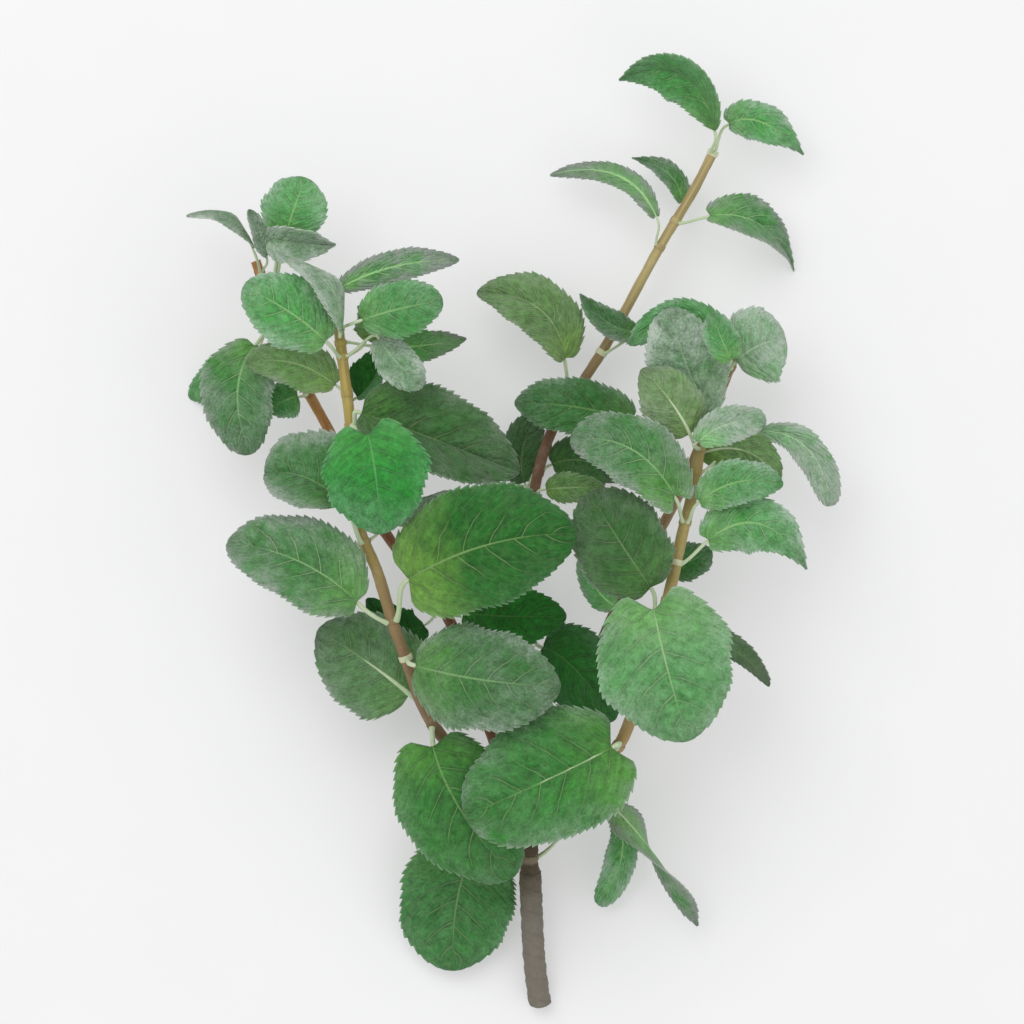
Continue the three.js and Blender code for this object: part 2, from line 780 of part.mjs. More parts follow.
function stemRadius(name, distance) {
  return name === 'main_stem' ? mainRadius(distance) : branchRadius(STEMS[name], distance);
}

function stemSolid(name) {
  const stem = STEMS[name];
  const curve = centreLine(stem);
  const steps = name === 'main_stem' ? MAIN_STEPS : (stem.path.length - 1) * STEM_STEPS;
  const sides = name === 'main_stem' ? MAIN_SIDES : STEM_SIDES;
  const start = curve.getPoint(0);
  return tube(curve, steps, sides, (t) => stemRadius(name, curve.getPoint(t).distanceTo(start)));
}

function collarSolid(collar) {
  const inner = (collar.radius + COLLAR_GAP) / Math.cos(Math.PI / COLLAR_SIDES);
  const outer = inner + COLLAR_WALL;
  const end = COLLAR_LENGTH / 2;
  const profile = [
    new THREE.Vector2(inner, -end),
    new THREE.Vector2(outer, -end),
    new THREE.Vector2(outer, end),
    new THREE.Vector2(inner, end),
    new THREE.Vector2(inner, -end),
  ];
  const ring = new THREE.LatheGeometry(profile, COLLAR_SIDES);
  ring.applyQuaternion(new THREE.Quaternion().setFromUnitVectors(new THREE.Vector3(0, 1, 0), collar.direction));
  ring.translate(collar.spot.x, collar.spot.y, collar.spot.z);
  ring.deleteAttribute('normal');
  ring.deleteAttribute('uv');
  const merged = mergeVertices(ring);
  return new wasm.Manifold(new wasm.Mesh({
    numProp: 3,
    vertProperties: new Float32Array(merged.attributes.position.array),
    triVerts: new Uint32Array(merged.index.array),
  }));
}

function pairSolid(pair) {
  const stem = STEMS[pair.stem];
  const collar = nearestOnStem(stem, pair.at);
  collar.radius = stemRadius(pair.stem, collar.spot.distanceTo(point(stem.path[0])));
  let joined = collarSolid(collar);
  for (const one of pair.leaves) {
    joined = joined.add(leafSolid(one, collar));
  }
  return joined.simplify(SHORTEST_EDGE);
}

// ---- The sprig ----

function toMesh(name, solid, look) {
  const mesh = solid.getMesh();
  const geometry = new THREE.BufferGeometry();
  geometry.setAttribute('position', new THREE.BufferAttribute(new Float32Array(mesh.vertProperties), 3));
  geometry.setIndex(new THREE.BufferAttribute(new Uint32Array(mesh.triVerts), 1));
  geometry.computeVertexNormals();
  const node = new THREE.Mesh(geometry, new THREE.MeshStandardMaterial({ ...look, metalness: 0 }));
  node.name = name;
  return node;
}

const sprig = new THREE.Group();
for (const name of Object.keys(STEMS)) {
  const look = name === 'main_stem' ? MAIN_LOOK : BRANCH_LOOK;
  sprig.add(toMesh(name === 'main_stem' ? name : `${name}_branch`, stemSolid(name), look));
}
for (const pair of PAIRS) {
  sprig.add(toMesh(pair.name, pairSolid(pair), LEAF_LOOKS[pair.stem]));
}

export default sprig;
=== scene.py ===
"""A mint sprig lying on a table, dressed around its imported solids. Sizes and tables are in millimetres."""

import math
import random
from types import SimpleNamespace

import bpy
import numpy as np
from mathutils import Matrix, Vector


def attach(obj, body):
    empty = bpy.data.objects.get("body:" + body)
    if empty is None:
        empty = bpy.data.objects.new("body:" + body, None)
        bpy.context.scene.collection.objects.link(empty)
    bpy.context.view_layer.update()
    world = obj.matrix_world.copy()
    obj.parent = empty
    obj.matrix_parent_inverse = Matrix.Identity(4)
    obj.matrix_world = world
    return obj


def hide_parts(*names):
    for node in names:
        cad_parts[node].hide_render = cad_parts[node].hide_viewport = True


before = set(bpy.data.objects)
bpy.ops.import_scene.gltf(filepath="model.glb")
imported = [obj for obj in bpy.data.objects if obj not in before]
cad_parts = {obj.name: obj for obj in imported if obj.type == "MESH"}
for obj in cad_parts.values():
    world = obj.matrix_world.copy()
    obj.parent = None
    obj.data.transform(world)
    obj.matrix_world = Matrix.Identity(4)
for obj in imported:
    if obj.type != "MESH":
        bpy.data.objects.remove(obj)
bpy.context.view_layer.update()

MM = 0.001
DECIMETRE = 100
UP = np.array([0.0, 0.0, 1.0])

# Blades. Lifts are half the thickness, and ACROSS runs from the midrib to the edge.
FACE_LIFT = 0.3
EDGE_LIFT = 0.16
BLADE_START = 0.06
LOBE_RISE = 0.006
LOBE_REACH = 0.12
BASE_ROWS = (0.007, 0.015, 0.027, 0.04)
TOOTH_PITCH = 2.2
FEWEST_TEETH = 8
MOST_TEETH = 23
TOOTH_DEPTH = 1.25
TOOTH_NOTCH = 0.25
TOOTH_LEAN = 0.35
TOOTH_CREST = 0.78
TOOTH_SIZES = (0.65, 1.15)
ROWS_A_TOOTH = (0.0, 0.4, TOOTH_CREST)
ACROSS = (0.0, 0.03, 0.09, 0.17, 0.26, 0.36, 0.46, 0.56, 0.66, 0.75, 0.83, 0.9, 0.955, 1.0)
WAVE = 0.8
WAVE_COUNT = 1.7
RIPPLES = ((30, 0.8), (17, 0.5), (10, 0.26))
EDGE_UNEVENNESS = 0.6
GROOVE_DEPTH = 0.06
GROOVE_WIDTH = 0.05
SHARP_ANGLE = 48

# Veins. Spacing and sweep are shares of the blade's length.
VEIN_SPACING = 0.17
VEIN_SWEEP = 0.34
VEIN_BEND = 0.4
VEIN_OFFSET = 0.2
VEIN_WOBBLE = 0.055
PILLOW = 0.6
FINE_PILLOW = 0.3

# Stalks, ribs and collars
STALK_RADIUS = 0.3
STALK_GROWTH = 0.0135
STALK_STEPS = 12
STALK_END = 1.4
STALK_SINK = 0.25
RIB_STEPS = 12
RIB_SIDES = 10
RIB_START = 0.03
RIB_END = 0.55
COLLAR_LENGTH = 1.9
COLLAR_GAP = 0.15
COLLAR_SLACK = 0.02
COLLAR_WALL = 0.22
PALE_COLLAR_WALL = 0.33
COLLAR_RIM = 0.3
COLLAR_SIDES = 28

# Stems
CURVE_STEPS = 600
BRANCH_SIDES = 22
BRANCH_STEP = 1.6
BRANCH_FOOT_RADIUS = 1.0
BRANCH_FOOT_LENGTH = 16
BRANCH_TAPER = 0.001
MAIN_SIDES = 40
MAIN_ROWS = 150
MAIN_NECK_MIDDLE = 7
MAIN_NECK_END = 12
MAIN_NECK_RADIUS = 2.6
TAPE_PITCH = 7.5
TAPE_STEP = 0.16
TORN_LENGTH = 3.5

# Leaf cloth. A thickness is a slope and a start, across or along a blade. A fade or a reach is where a
# smooth step begins and ends. Scales are repeats per metre.
VEIN_THICKNESS = (-0.014, 0.024)
VEIN_FADE = (0.8, 1.35)
RIB_THICKNESS = (-0.007, 0.013)
FLANK_REACH = (0.04, 0.2)
YOUTH_REACH = (0.14, 0.56)
PATCH_SCALE = 70.0
CLOUD_SCALE = 110.0
BLOTCH_SCALE = 380.0
FINE_SCALE = 1500.0
CELLS_A_STRIP = 3.2
CELLS_ACROSS = 4.6
PATCH_SHADE = 0.74
UNDER_GREEN = (118, 146, 104)
UNDER_YOUNG = (126, 156, 96)
UNDER_DUST = 0.08
RIM_FUZZ_AND_SHEEN_COLOUR = (196, 208, 192)
SHEEN_ROUGHNESS = 0.45
SHEEN_TINT = (0.85, 1.0, 0.88, 1.0)
WHITE = (1.0, 1.0, 1.0, 1.0)

# Stage, light and camera, in metres
FLOOR_REACH = 6.0
LIGHT_AIM = (0, 0, 0.03)
REFERENCE_HEIGHT = 0.030
CAMERA_DISTANCE = 1.7778
VIEW_CENTRE = (0.0, 0.005625)

# Where a blade is widest, how its base and tip are rounded, and how far its base corners reach back.
OUTLINES = {
    "ovate": (0.4, 0.5, 0.62, 0.03),
    "round": (0.45, 0.46, 0.5, 0.04),
    "broad": (0.36, 0.4, 0.6, 0.05),
    "lobed": (0.38, 0.42, 0.5, 0.11),
    "heart": (0.36, 0.44, 0.6, 0.19),
    "keen": (0.36, 0.5, 1.1, 0.05),
    "slim": (0.45, 0.75, 1.0, 0),
    "blunt": (0.6, 0.6, 0.35, 0),
    "lance": (0.38, 0.65, 0.85, 0.01),
}


def leaf(base, mid, tip, width, look="fresh", kind="ovate", roll=0, twist=0, folds=(12, 12), curl=-15,
         behind=0, rumple=1.0, rib=0.55, painted_light_and_dust=(1.0, 1.0)):
    """The midrib's start, middle and tip, the greatest width, and how the blade is turned and painted.

    Angles are in degrees, and folds are for the left half and the right half. Behind is 0 where the
    stalk runs straight into the midrib and 1 where it comes up from under the blade. Rib is the rib's
    thickness as a share of the stalk's. The last pair is the leaf's painted light and shade, which
    scales its brightness, and how dusty it is.
    """
    spots = [np.array(spot, float) for spot in (base, mid, tip)]
    return SimpleNamespace(spots=spots, width=width, kind=kind, roll=roll, twist=twist, folds=folds,
                           curl=curl, behind=behind, look=look, rumple=rumple, rib=rib, painted_light_and_dust=painted_light_and_dust)


STEMS = {
    "main_stem": (3.5, [
        (5.5, -96, 20.5), (5.6, -104, 18.2), (6, -115, 15), (7, -135, 8.6), (8.8, -150.5, 3.5)]),
    "left_front": (2, [
        (4.2, -96.1, 22.3), (3.2, -91.3, 24), (-10, -78, 31), (-26, -58, 40), (-33, -39.5, 45),
        (-36.5, -30, 46.5), (-42, -12, 48), (-46, -3, 48.5), (-48, 5, 49), (-50, 33, 50), (-52, 50, 50),
        (-54, 65.5, 50)]),
    "left_back": (1.9, [
        (3.4, -95.5, 20), (2.4, -90.6, 21), (-8, -60, 17), (-20, -28, 15), (-28, -17, 15), (-38.5, -3, 15),
        (-48, 12, 15), (-58, 32, 16), (-65.5, 46, 17), (-72, 62, 18), (-80.6, 84.5, 20)]),
    "middle": (1.9, [
        (5.5, -95, 18.5), (5.5, -90.2, 19), (4.5, -70, 15), (4.5, -40, 13), (5, -8, 13), (7.5, 14.5, 13),
        (12.5, 31, 13), (22.5, 47, 14), (29.8, 58.5, 15), (46.5, 89, 17), (57, 106.5, 18),
        (63.5, 119.2, 19)]),
    "right_front": (2, [
        (6.8, -96.1, 22.3), (7.8, -91.3, 24), (19, -82, 32), (33, -67, 42), (37, -58, 44), (43, -40, 46),
        (49.5, -16, 47), (53, 0, 47), (56, 12, 47), (58.5, 28, 47)]),
    "right_back": (1.8, [
        (7.7, -95.4, 19.9), (8.9, -90.6, 20.8), (18, -60, 17), (34.5, -21.5, 16), (53, 12, 18),
        (62.5, 36, 22), (67.5, 48.5, 25), (70.5, 56, 27)]),
}

PAIRS = [
    ("left_front_pair_1", (-24, -60.5), [
        leaf((-24.5, -66.9, 46), (-16, -86.5, 46), (0.5, -108, 38), 36, "mid", "lobed",
             folds=(8, 8), curl=-25, behind=0.6, painted_light_and_dust=(0.97, 0.5)),
        leaf((-31.8, -51.2, 36.5), (-44.7, -41.3, 36), (-60.5, -31, 33), 32, "dusty",
             roll=180, folds=(10, 10), curl=-20, rib=1.1, painted_light_and_dust=(0.9, 0.6))]),
    ("left_front_pair_2", (-33, -39.5), [
        leaf((-29.5, -41.8, 56), (-8, -46, 64), (15, -48, 60), 33, "dusty",
             folds=(8, 8), curl=-25, painted_light_and_dust=(0.9, 0.8))]),
    ("left_front_pair_3", (-37.8, -28.5), [
        leaf((-48, -22, 54), (-66.2, -9.3, 58), (-88, -4, 50), 29, "dusty",
             folds=(48, 10), curl=-30, painted_light_and_dust=(1.2, 1.1)),
        leaf((-31.6, -15, 58), (-7, -4.3, 70), (20, -1, 64), 38, "yellow", "broad",
             folds=(12, 20), curl=-25, painted_light_and_dust=(0.76, 0.5))]),
    ("left_front_pair_4", (-46.5, -4), [
        leaf((-53, 9, 54), (-64.5, 16.5, 52), (-76.5, 17.5, 48), 31, "mid",
             folds=(62, 8), curl=-10, painted_light_and_dust=(1.15, 2.2)),
        leaf((-36, 3, 44), (-27, 8, 42), (-17, 12, 40), 12, "silver", roll=60, folds=(20, 20), curl=-10)]),
    ("left_front_pair_5", (-50, 32), [
        leaf((-44, 29.3, 66), (-41.4, 14.8, 70), (-40.4, -1.2, 64), 33, "bright", "heart",
             folds=(8, 8), curl=-25, behind=1, painted_light_and_dust=(0.83, 0.9)),
        leaf((-46.4, 36.1, 54.5), (-24.7, 28.2, 53.5), (2.3, 17.7, 50), 32, "shade",
             folds=(5, 59), curl=-18, painted_light_and_dust=(1.05, 0.8))]),
    ("left_front_pair_6", (-51, 42), [
        leaf((-54.8, 45.1, 44.5), (-68, 51.9, 43.5), (-82.6, 52, 44), 15, "olive",
             folds=(8, 28), curl=-20, painted_light_and_dust=(1.4, 1.3)),
        leaf((-48, 41.3, 41), (-42.7, 47.2, 41), (-40.1, 57.2, 40), 17, "deep",
             folds=(5, 80), curl=-10, painted_light_and_dust=(1.3, 0.3))]),
    ("left_front_pair_7", (-52.4, 53.5), [
        leaf((-57.4, 58.3, 60), (-68.9, 67.4, 64), (-82.6, 74.8, 60), 21.5, "fresh", "round",
             curl=-25, painted_light_and_dust=(1.05, 1.3)),
        leaf((-40.6, 58.4, 60), (-34.8, 50.9, 64), (-27.3, 44.1, 62), 12.5, "silver", "round",
             folds=(10, 20), curl=-12, painted_light_and_dust=(1.25, 1.1)),
        leaf((-44.7, 58.9, 52), (-44.2, 63.7, 53), (-47.6, 69.2, 52), 9.5, "olive", "keen", curl=-12)]),
    ("left_front_pair_8", (-53.1, 58), [
        leaf((-42.5, 56.9, 49), (-29.2, 57, 48), (-14.2, 59.4, 44), 11, "shade", "lance",
             folds=(15, 15), curl=-10, painted_light_and_dust=(2.6, 2.4))]),
    ("left_front_pair_9", (-53.6, 62.5), [
        leaf((-52.3, 61.4, 64), (-56.5, 75.4, 69), (-72.1, 84.9, 60), 13, "silver",
             roll=56, folds=(0, 0), curl=-10, painted_light_and_dust=(1.2, 1.1)),
        leaf((-45.5, 64.5, 68), (-33.5, 67.9, 70), (-21.2, 70.3, 66), 17, "fresh", "round",
             curl=-25, painted_light_and_dust=(0.92, 0.9)),
        leaf((-52.2, 74.9, 58), (-35.4, 81.3, 58), (-16.3, 83.3, 54), 10, "dusty",
             folds=(10, 10), curl=-10, painted_light_and_dust=(1.9, 2.8))]),
    ("left_back_pair_2", (-24, -23), [
        leaf((-27.5, -30, 28), (-35, -30, 28), (-45.5, -21.5, 26), 12, "deep",
             folds=(15, 15), painted_light_and_dust=(1.2, 0.3)),
        leaf((-15, -26, 26), (0, -27, 30), (17, -27, 26), 20, "deep", curl=-20, painted_light_and_dust=(1.5, 0.1))]),
    ("left_back_pair_3", (-64, 43), [
        leaf((-67.3, 41.7, 27), (-71.3, 40.4, 28), (-76.6, 37.4, 27), 12, painted_light_and_dust=(1, 1.2))]),
    ("left_back_pair_4", (-74, 67), [
        leaf((-80.3, 57.4, 34), (-85.4, 42.6, 38), (-81.7, 23.6, 32), 22.5, "dusty", "round",
             curl=-20, painted_light_and_dust=(1.2, 1.1)),
        leaf((-84, 53, 14), (-93, 47.5, 11), (-102.5, 42, 0.3), 13, curl=-20)]),
    ("left_back_pair_5", (-76.5, 73.5), [
        leaf((-70.5, 91.5, 39), (-67.5, 100, 43), (-64, 109.5, 39), 20.5, "fresh", "round",
             folds=(10, 10), curl=-25, painted_light_and_dust=(1.1, 1.3)),
        leaf((-74.4, 90.3, 44), (-65.9, 88.9, 47), (-54.7, 88.5, 45), 15, "silver", "keen",
             folds=(62, 35), behind=0.7, painted_light_and_dust=(1.2, 1.1))]),
    ("left_back_pair_6", (-79.3, 81), [
        leaf((-80.8, 88, 30), (-88.8, 97.3, 33), (-101.5, 98.3, 31), 9.5, "silver", "blunt",
             roll=66, folds=(0, 0), curl=-10, painted_light_and_dust=(0.92, 0.9)),
        leaf((-76.9, 86.1, 27), (-79, 92.5, 30), (-82.3, 100.1, 31), 7.5, "silver",
             roll=30, folds=(25, 25), curl=-10, painted_light_and_dust=(1.15, 1.1))]),
    ("middle_pair_1", (4.5, -34), [
        leaf((10, -37, 20), (20, -44, 24), (32, -60, 20), 24, "deep", painted_light_and_dust=(1.25, 1.6))]),
    ("middle_pair_2", (7, 11), [
        leaf((11, 12.8, 22), (18.6, 13.3, 23), (29.1, 13.5, 22), 9.5, "olive", painted_light_and_dust=(1.25, 0.9))]),
    ("middle_pair_3", (8.3, 18), [
        leaf((4, 15, 8), (3.5, 26, 6), (9, 38, 3), 14, "shade"),
        leaf((12.7, 20.7, 8), (23.3, 21.9, 7), (36.5, 17.2, 4), 16, "shade", painted_light_and_dust=(1.3, 1))]),
    ("middle_pair_4", (19.5, 42.5), [
        leaf((16.5, 54, 24), (8, 69.5, 26), (-11, 74.5, 18), 20, "olive",
             folds=(45, 10), curl=-20, painted_light_and_dust=(1, 0.9)),
        leaf((37.6, 34.6, 24), (19, 38.6, 27), (0.8, 39.7, 25), 18.5, "mid", painted_light_and_dust=(0.85, 1))]),
    ("middle_pair_5", (28, 56), [
        leaf((39, 63, 24), (30.5, 64.5, 27), (21.3, 74, 25), 10, "dusty", "lance",
             folds=(40, 20), curl=-10)]),
    ("middle_pair_6", (46.5, 89), [
        leaf((45.2, 98.4, 22), (32.7, 111.5, 21), (12.1, 111.9, 12), 7.2, "dusty",
             roll=180, folds=(15, 15), rib=0.25, painted_light_and_dust=(1.6, 1.6))]),
    ("middle_pair_7", (51.5, 97), [
        leaf((53.5, 103.5, 12.5), (49, 112.6, 12), (37.9, 117.5, 10), 8, "dusty", "keen",
             folds=(50, 15), painted_light_and_dust=(1.25, 1.2)),
        leaf((62.2, 98.4, 23), (78, 95.8, 19), (89.5, 82.3, 0.3), 14.5, "dusty", "keen",
             folds=(10, 60), painted_light_and_dust=(1.6, 1.5))]),
    ("middle_pair_8", (63, 118.5), [
        leaf((63.5, 125.2, 27), (52.8, 142.3, 29), (33.7, 141.3, 21), 17.5, "fresh", "slim",
             folds=(8, 68), painted_light_and_dust=(0.8, 0.6)),
        leaf((68.3, 127.6, 21), (78.9, 127.9, 21), (91.9, 118.4, 13), 13, "fresh", "keen",
             folds=(30, 15), curl=-20, painted_light_and_dust=(1.25, 1.8))]),
    ("right_front_pair_0", (33, -67), [
        leaf((30.8, -67, 54.2), (9.5, -77.4, 56), (-14.6, -88, 53), 42, "mid", "lobed",
             folds=(38, 8), curl=-25, rumple=2.2, painted_light_and_dust=(1.05, 0.8))]),
    ("right_front_pair_1", (45.5, -31), [
        leaf((42.6, -17.5, 53), (33.5, -4, 57), (23.8, 11.6, 52), 28.5, "shade", "round",
             folds=(15, 15), curl=-20, painted_light_and_dust=(1.1, 0.9)),
        leaf((54, -33, 40), (69.5, -37.5, 38), (80.2, -48.8, 32), 9, "shade", roll=180, twist=60, curl=-10)]),
    ("right_front_pair_2", (47.9, -22), [
        leaf((43.5, -24.3, 62), (47.9, -43.9, 69), (54.2, -64.6, 62), 42, "pale", "heart",
             folds=(8, 8), curl=-20, behind=1)]),
    ("right_front_pair_3", (50.8, -10), [
        leaf((60.8, -3, 50.5), (76.9, 1.8, 53), (91.1, -12.1, 48), 18.5, "fresh", "keen",
             folds=(15, 15), curl=-20, painted_light_and_dust=(1.05, 1.7))]),
    ("right_front_pair_4", (53.7, 2.5), [
        leaf((49.9, 10.7, 58), (36.1, 25.2, 62), (18, 27.7, 54), 21.5, "dusty", "lobed",
             folds=(18, 18), curl=-20, painted_light_and_dust=(1.15, 1.1)),
        leaf((58, 9, 54), (70, 15, 58), (83.5, 14, 54), 14, folds=(15, 15), curl=-20, painted_light_and_dust=(0.98, 1.35))]),
    ("right_front_pair_5", (57, 18), [
        leaf((58.6, 23.7, 43), (72.5, 24.4, 42), (83.1, 14.8, 38), 15, "olive",
             roll=180, rib=0.8, painted_light_and_dust=(1.05, 0.2)),
        leaf((76.7, 30.9, 36), (92.1, 25.5, 34), (100, 7.6, 24), 10.5, "silver", "blunt",
             roll=20, folds=(10, 20), curl=-10, painted_light_and_dust=(2.1, 1.3))]),
    ("right_front_pair_6", (58, 25), [
        leaf((57.5, 27.6, 56), (67.4, 33.1, 58), (78.1, 33, 56), 12.5, "silver", "round",
             roll=20, folds=(22, 22), painted_light_and_dust=(1.9, 1.2)),
        leaf((54.7, 29.6, 56), (48.7, 39.6, 60), (40, 49.7, 54), 18.5, "olive",
             roll=180, curl=-10, rib=1.1)]),
    ("main_stem_pair", (5.5, -103), [
        leaf((-12, -100, 15), (-17.5, -118, 14), (-18.5, -139.5, 8), 37, "fresh", "round",
             folds=(8, 8), curl=-25, painted_light_and_dust=(0.57, 0.25)),
        leaf((31, -87.9, 16), (34.9, -101.5, 14), (27.3, -118.7, 8), 10, "fresh", "blunt",
             roll=20, folds=(10, 10), curl=-10, painted_light_and_dust=(1.4, 1.8)),
        leaf((31.1, -86.3, 24), (45.6, -103.6, 20), (58.7, -125.1, 10), 14, "dusty", "lance",
             roll=170, twist=-160, folds=(10, 10), curl=-10, painted_light_and_dust=(1.6, 2.2))]),
    ("right_back_pair_1", (33, -25), [
        leaf((32, -23.5, 26), (26.5, -18.5, 28), (21, -9, 26), 9, painted_light_and_dust=(2, 2))]),
    ("right_back_pair_2", (40, -12), [
        leaf((48.6, -11.3, 30), (56, -9.5, 30), (62.3, -6, 28), 12, "mid")]),
    ("right_back_pair_3", (65, 42.5), [
        leaf((60, 36, 42), (53, 54, 46), (48.7, 69, 42), 24, "silver",
             folds=(10, 10), curl=-20, painted_light_and_dust=(1.02, 1.1))]),
    ("right_back_pair_4", (68.6, 51), [
        leaf((67.6, 54.3, 36), (53.8, 65.5, 38), (36.5, 57.7, 34), 13.5, folds=(10, 10), curl=-10),
        leaf((70, 52.8, 36), (77, 57.5, 38), (85.3, 59.6, 34), 24.5, "silver", "round",
             curl=-20, painted_light_and_dust=(1.7, 1.2)),
        leaf((67.6, 53, 51), (64.4, 59.5, 53.5), (61.7, 67.5, 52), 11,
             folds=(28, 28), curl=-10, behind=0.6, painted_light_and_dust=(1.1, 1.2))]),
]


# ---- Curves ----

def unit(vectors):
    return vectors / np.linalg.norm(vectors, axis=-1, keepdims=True)


def without(vectors, directions):
    """The part of each vector that is square to its direction, at length one."""
    return unit(vectors - (vectors * directions).sum(-1, keepdims=True) * directions)


def centre_line(path):
    """Points along a centripetal Catmull-Rom curve through the path."""
    path = np.array(path, float)
    path = np.vstack([2 * path[0] - path[1], path, 2 * path[-1] - path[-2]])
    count = len(path) - 3
    spots = []
    for sample in np.linspace(0, count, CURVE_STEPS + 1):
        index = min(int(sample), count - 1)
        p0, p1, p2, p3 = path[index:index + 4]
        gap0, gap1, gap2 = (math.sqrt(np.linalg.norm(b - a)) for a, b in ((p0, p1), (p1, p2), (p2, p3)))
        start = ((p1 - p0) / gap0 - (p2 - p0) / (gap0 + gap1) + (p2 - p1) / gap1) * gap1
        end = ((p2 - p1) / gap1 - (p3 - p1) / (gap1 + gap2) + (p3 - p2) / gap2) * gap1
        t = sample - index
        spots.append(p1 + start * t + (3 * (p2 - p1) - 2 * start - end) * t ** 2
                     + (2 * (p1 - p2) + start + end) * t ** 3)
    return np.array(spots)


def directions_along(spots):
    return unit(np.gradient(spots, axis=0))


def nearest_on_stem(name, place):
    """The collar's spot, the stem's direction and radius there, and how far it is from the stem's foot."""
    spots = LINES[name]
    index = int(np.argmin(np.hypot(*(spots[:, :2] - place).T)))
    reach = np.linalg.norm(spots[index] - spots[0])
    return spots[index], directions_along(spots)[index], stem_radius(name, reach), reach


def stem_radius(name, distance):
    full = STEMS[name][0]
    if name == "main_stem":
        neck = np.minimum(1, np.abs(distance - MAIN_NECK_MIDDLE) / MAIN_NECK_MIDDLE) ** 2
        narrow = MAIN_NECK_RADIUS + (full - MAIN_NECK_RADIUS) * neck
        return np.where(distance < MAIN_NECK_END, narrow, full)
    grown = np.minimum(1, distance / BRANCH_FOOT_LENGTH)
    return (BRANCH_FOOT_RADIUS + (full - BRANCH_FOOT_RADIUS) * grown) * (1 - BRANCH_TAPER * distance)


# ---- Meshes ----

def in_scene(name, data):
    """A new object in the scene that holds the data."""
    made = bpy.data.objects.new(name, data)
    bpy.context.scene.collection.objects.link(made)
    return made


class Builder:
    """Gathers the vertices, faces, materials and coordinate layers of one mesh.

    Blade is the place along and across a blade, or along and around a stem. The light and dust layer
    holds a leaf's painted light and shade, which scales its brightness, and its dust. Girth is a
    blade's width in decimetres.
    """

    def __init__(self):
        self.spots = []
        self.layers = {"blade": [], "painted_light_and_dust": [], "girth": []}
        self.faces = []
        self.paints = []

    def add(self, spots, places, painted_faces, painted_light_and_dust=(1.0, 1.0), girth=0.2):
        """Adds one closed form, with its faces listed under the name of each material."""
        spots = spots.reshape(-1, 3)
        first = sum(len(part) for part in self.spots)
        self.spots.append(spots)
        self.layers["blade"].append(places.reshape(-1, 2))
        self.layers["painted_light_and_dust"].append(np.tile(painted_light_and_dust, (len(spots), 1)))
        self.layers["girth"].append(np.full((len(spots), 2), girth))
        for paint, faces in painted_faces.items():
            self.faces += [tuple(first + corner for corner in face) for face in faces]
            self.paints += [paint] * len(faces)

    def mesh(self, name, materials):
        mesh = bpy.data.meshes.new(name)
        mesh.from_pydata((np.vstack(self.spots) * MM).tolist(), [], self.faces)
        names = sorted(set(self.paints))
        for paint in names:
            mesh.materials.append(materials[paint])
        mesh.polygons.foreach_set("material_index", [names.index(paint) for paint in self.paints])
        corners = np.empty(len(mesh.loops), int)
        mesh.loops.foreach_get("vertex_index", corners)
        for title, parts in self.layers.items():
            layer = mesh.uv_layers.new(name=title)
            layer.data.foreach_set("uv", np.vstack(parts)[corners].ravel())
        mesh.polygons.foreach_set("use_smooth", [True] * len(mesh.polygons))
        mesh.set_sharp_from_angle(angle=math.radians(SHARP_ANGLE))
        mesh.validate()
        mesh.update()
        return in_scene(name, mesh)


def ring_faces(rings, sides, wraps=False):
    """Faces between neighbouring rings of points. If it wraps, the last ring joins the first."""
    faces = []
    for ring in range(rings if wraps else rings - 1):
        here = ring * sides
        there = (ring + 1) % rings * sides
        for k in range(sides):
            beyond = (k + 1) % sides
            faces.append((here + k, here + beyond, there + beyond, there + k))
    return faces


def blade_faces(rows, columns):
    """The upper faces with the rim, and the lower faces, of two grids of points that each end in a tip."""
    last = rows * columns
    end = last - columns
    grid = [(r * columns + c, r * columns + c + 1, (r + 1) * columns + c + 1, (r + 1) * columns + c)
            for r in range(rows - 1) for c in range(columns - 1)]
    grid += [(end + c, end + c + 1, last) for c in range(columns - 1)]
    loop = [r * columns for r in range(rows)] + [last]
    loop += [r * columns + columns - 1 for r in reversed(range(rows))]
    loop += list(reversed(range(1, columns - 1)))
    below = last + 1
    top = [tuple(reversed(face)) for face in grid]
    rim = [(here, here + below, beyond + below, beyond)
           for here, beyond in zip(loop, loop[1:] + loop[:1])]
    bottom = [tuple(corner + below for corner in face) for face in grid]
    return top + rim, bottom


# ---- Blades ----

def half_width(one, along):
    widest, swell, point, _ = OUTLINES[one.kind]
    wide = BLADE_START + (1 - BLADE_START) * (1 - np.clip(1 - along / widest, 0, 1) ** 2) ** swell
    narrow = np.maximum(0, 1 - np.maximum(0, (along - widest) / (1 - widest)) ** 2) ** point
    return one.width / 2 * np.where(along < widest, wide, narrow)


def midrib(one, along):
    base, mid, tip = one.spots
    control = 2 * mid - (base + tip) / 2
    along = np.asarray(along, float)[..., None]
    curved = (1 - along) ** 2 * base + 2 * along * (1 - along) * control + along ** 2 * tip
    return np.where(along < 0, base + (control - base) * 2 * along, curved)


def leaf_frame(one, along):
    """Directions on the midrib: forward, to the leaf's left, and out of its upper face."""
    base, mid, tip = one.spots
    control = 2 * mid - (base + tip) / 2
    along = np.clip(np.asarray(along, float), 0, 1)[..., None]
    forward = unit((control - base) * (1 - along) + (tip - control) * along)
    left = without(np.cross(UP, tip - base), forward)
    out = np.cross(forward, left)
    turn = np.radians(one.roll + one.twist * along)
    left = left * np.cos(turn) + out * np.sin(turn)
    return forward, left, np.cross(forward, left)


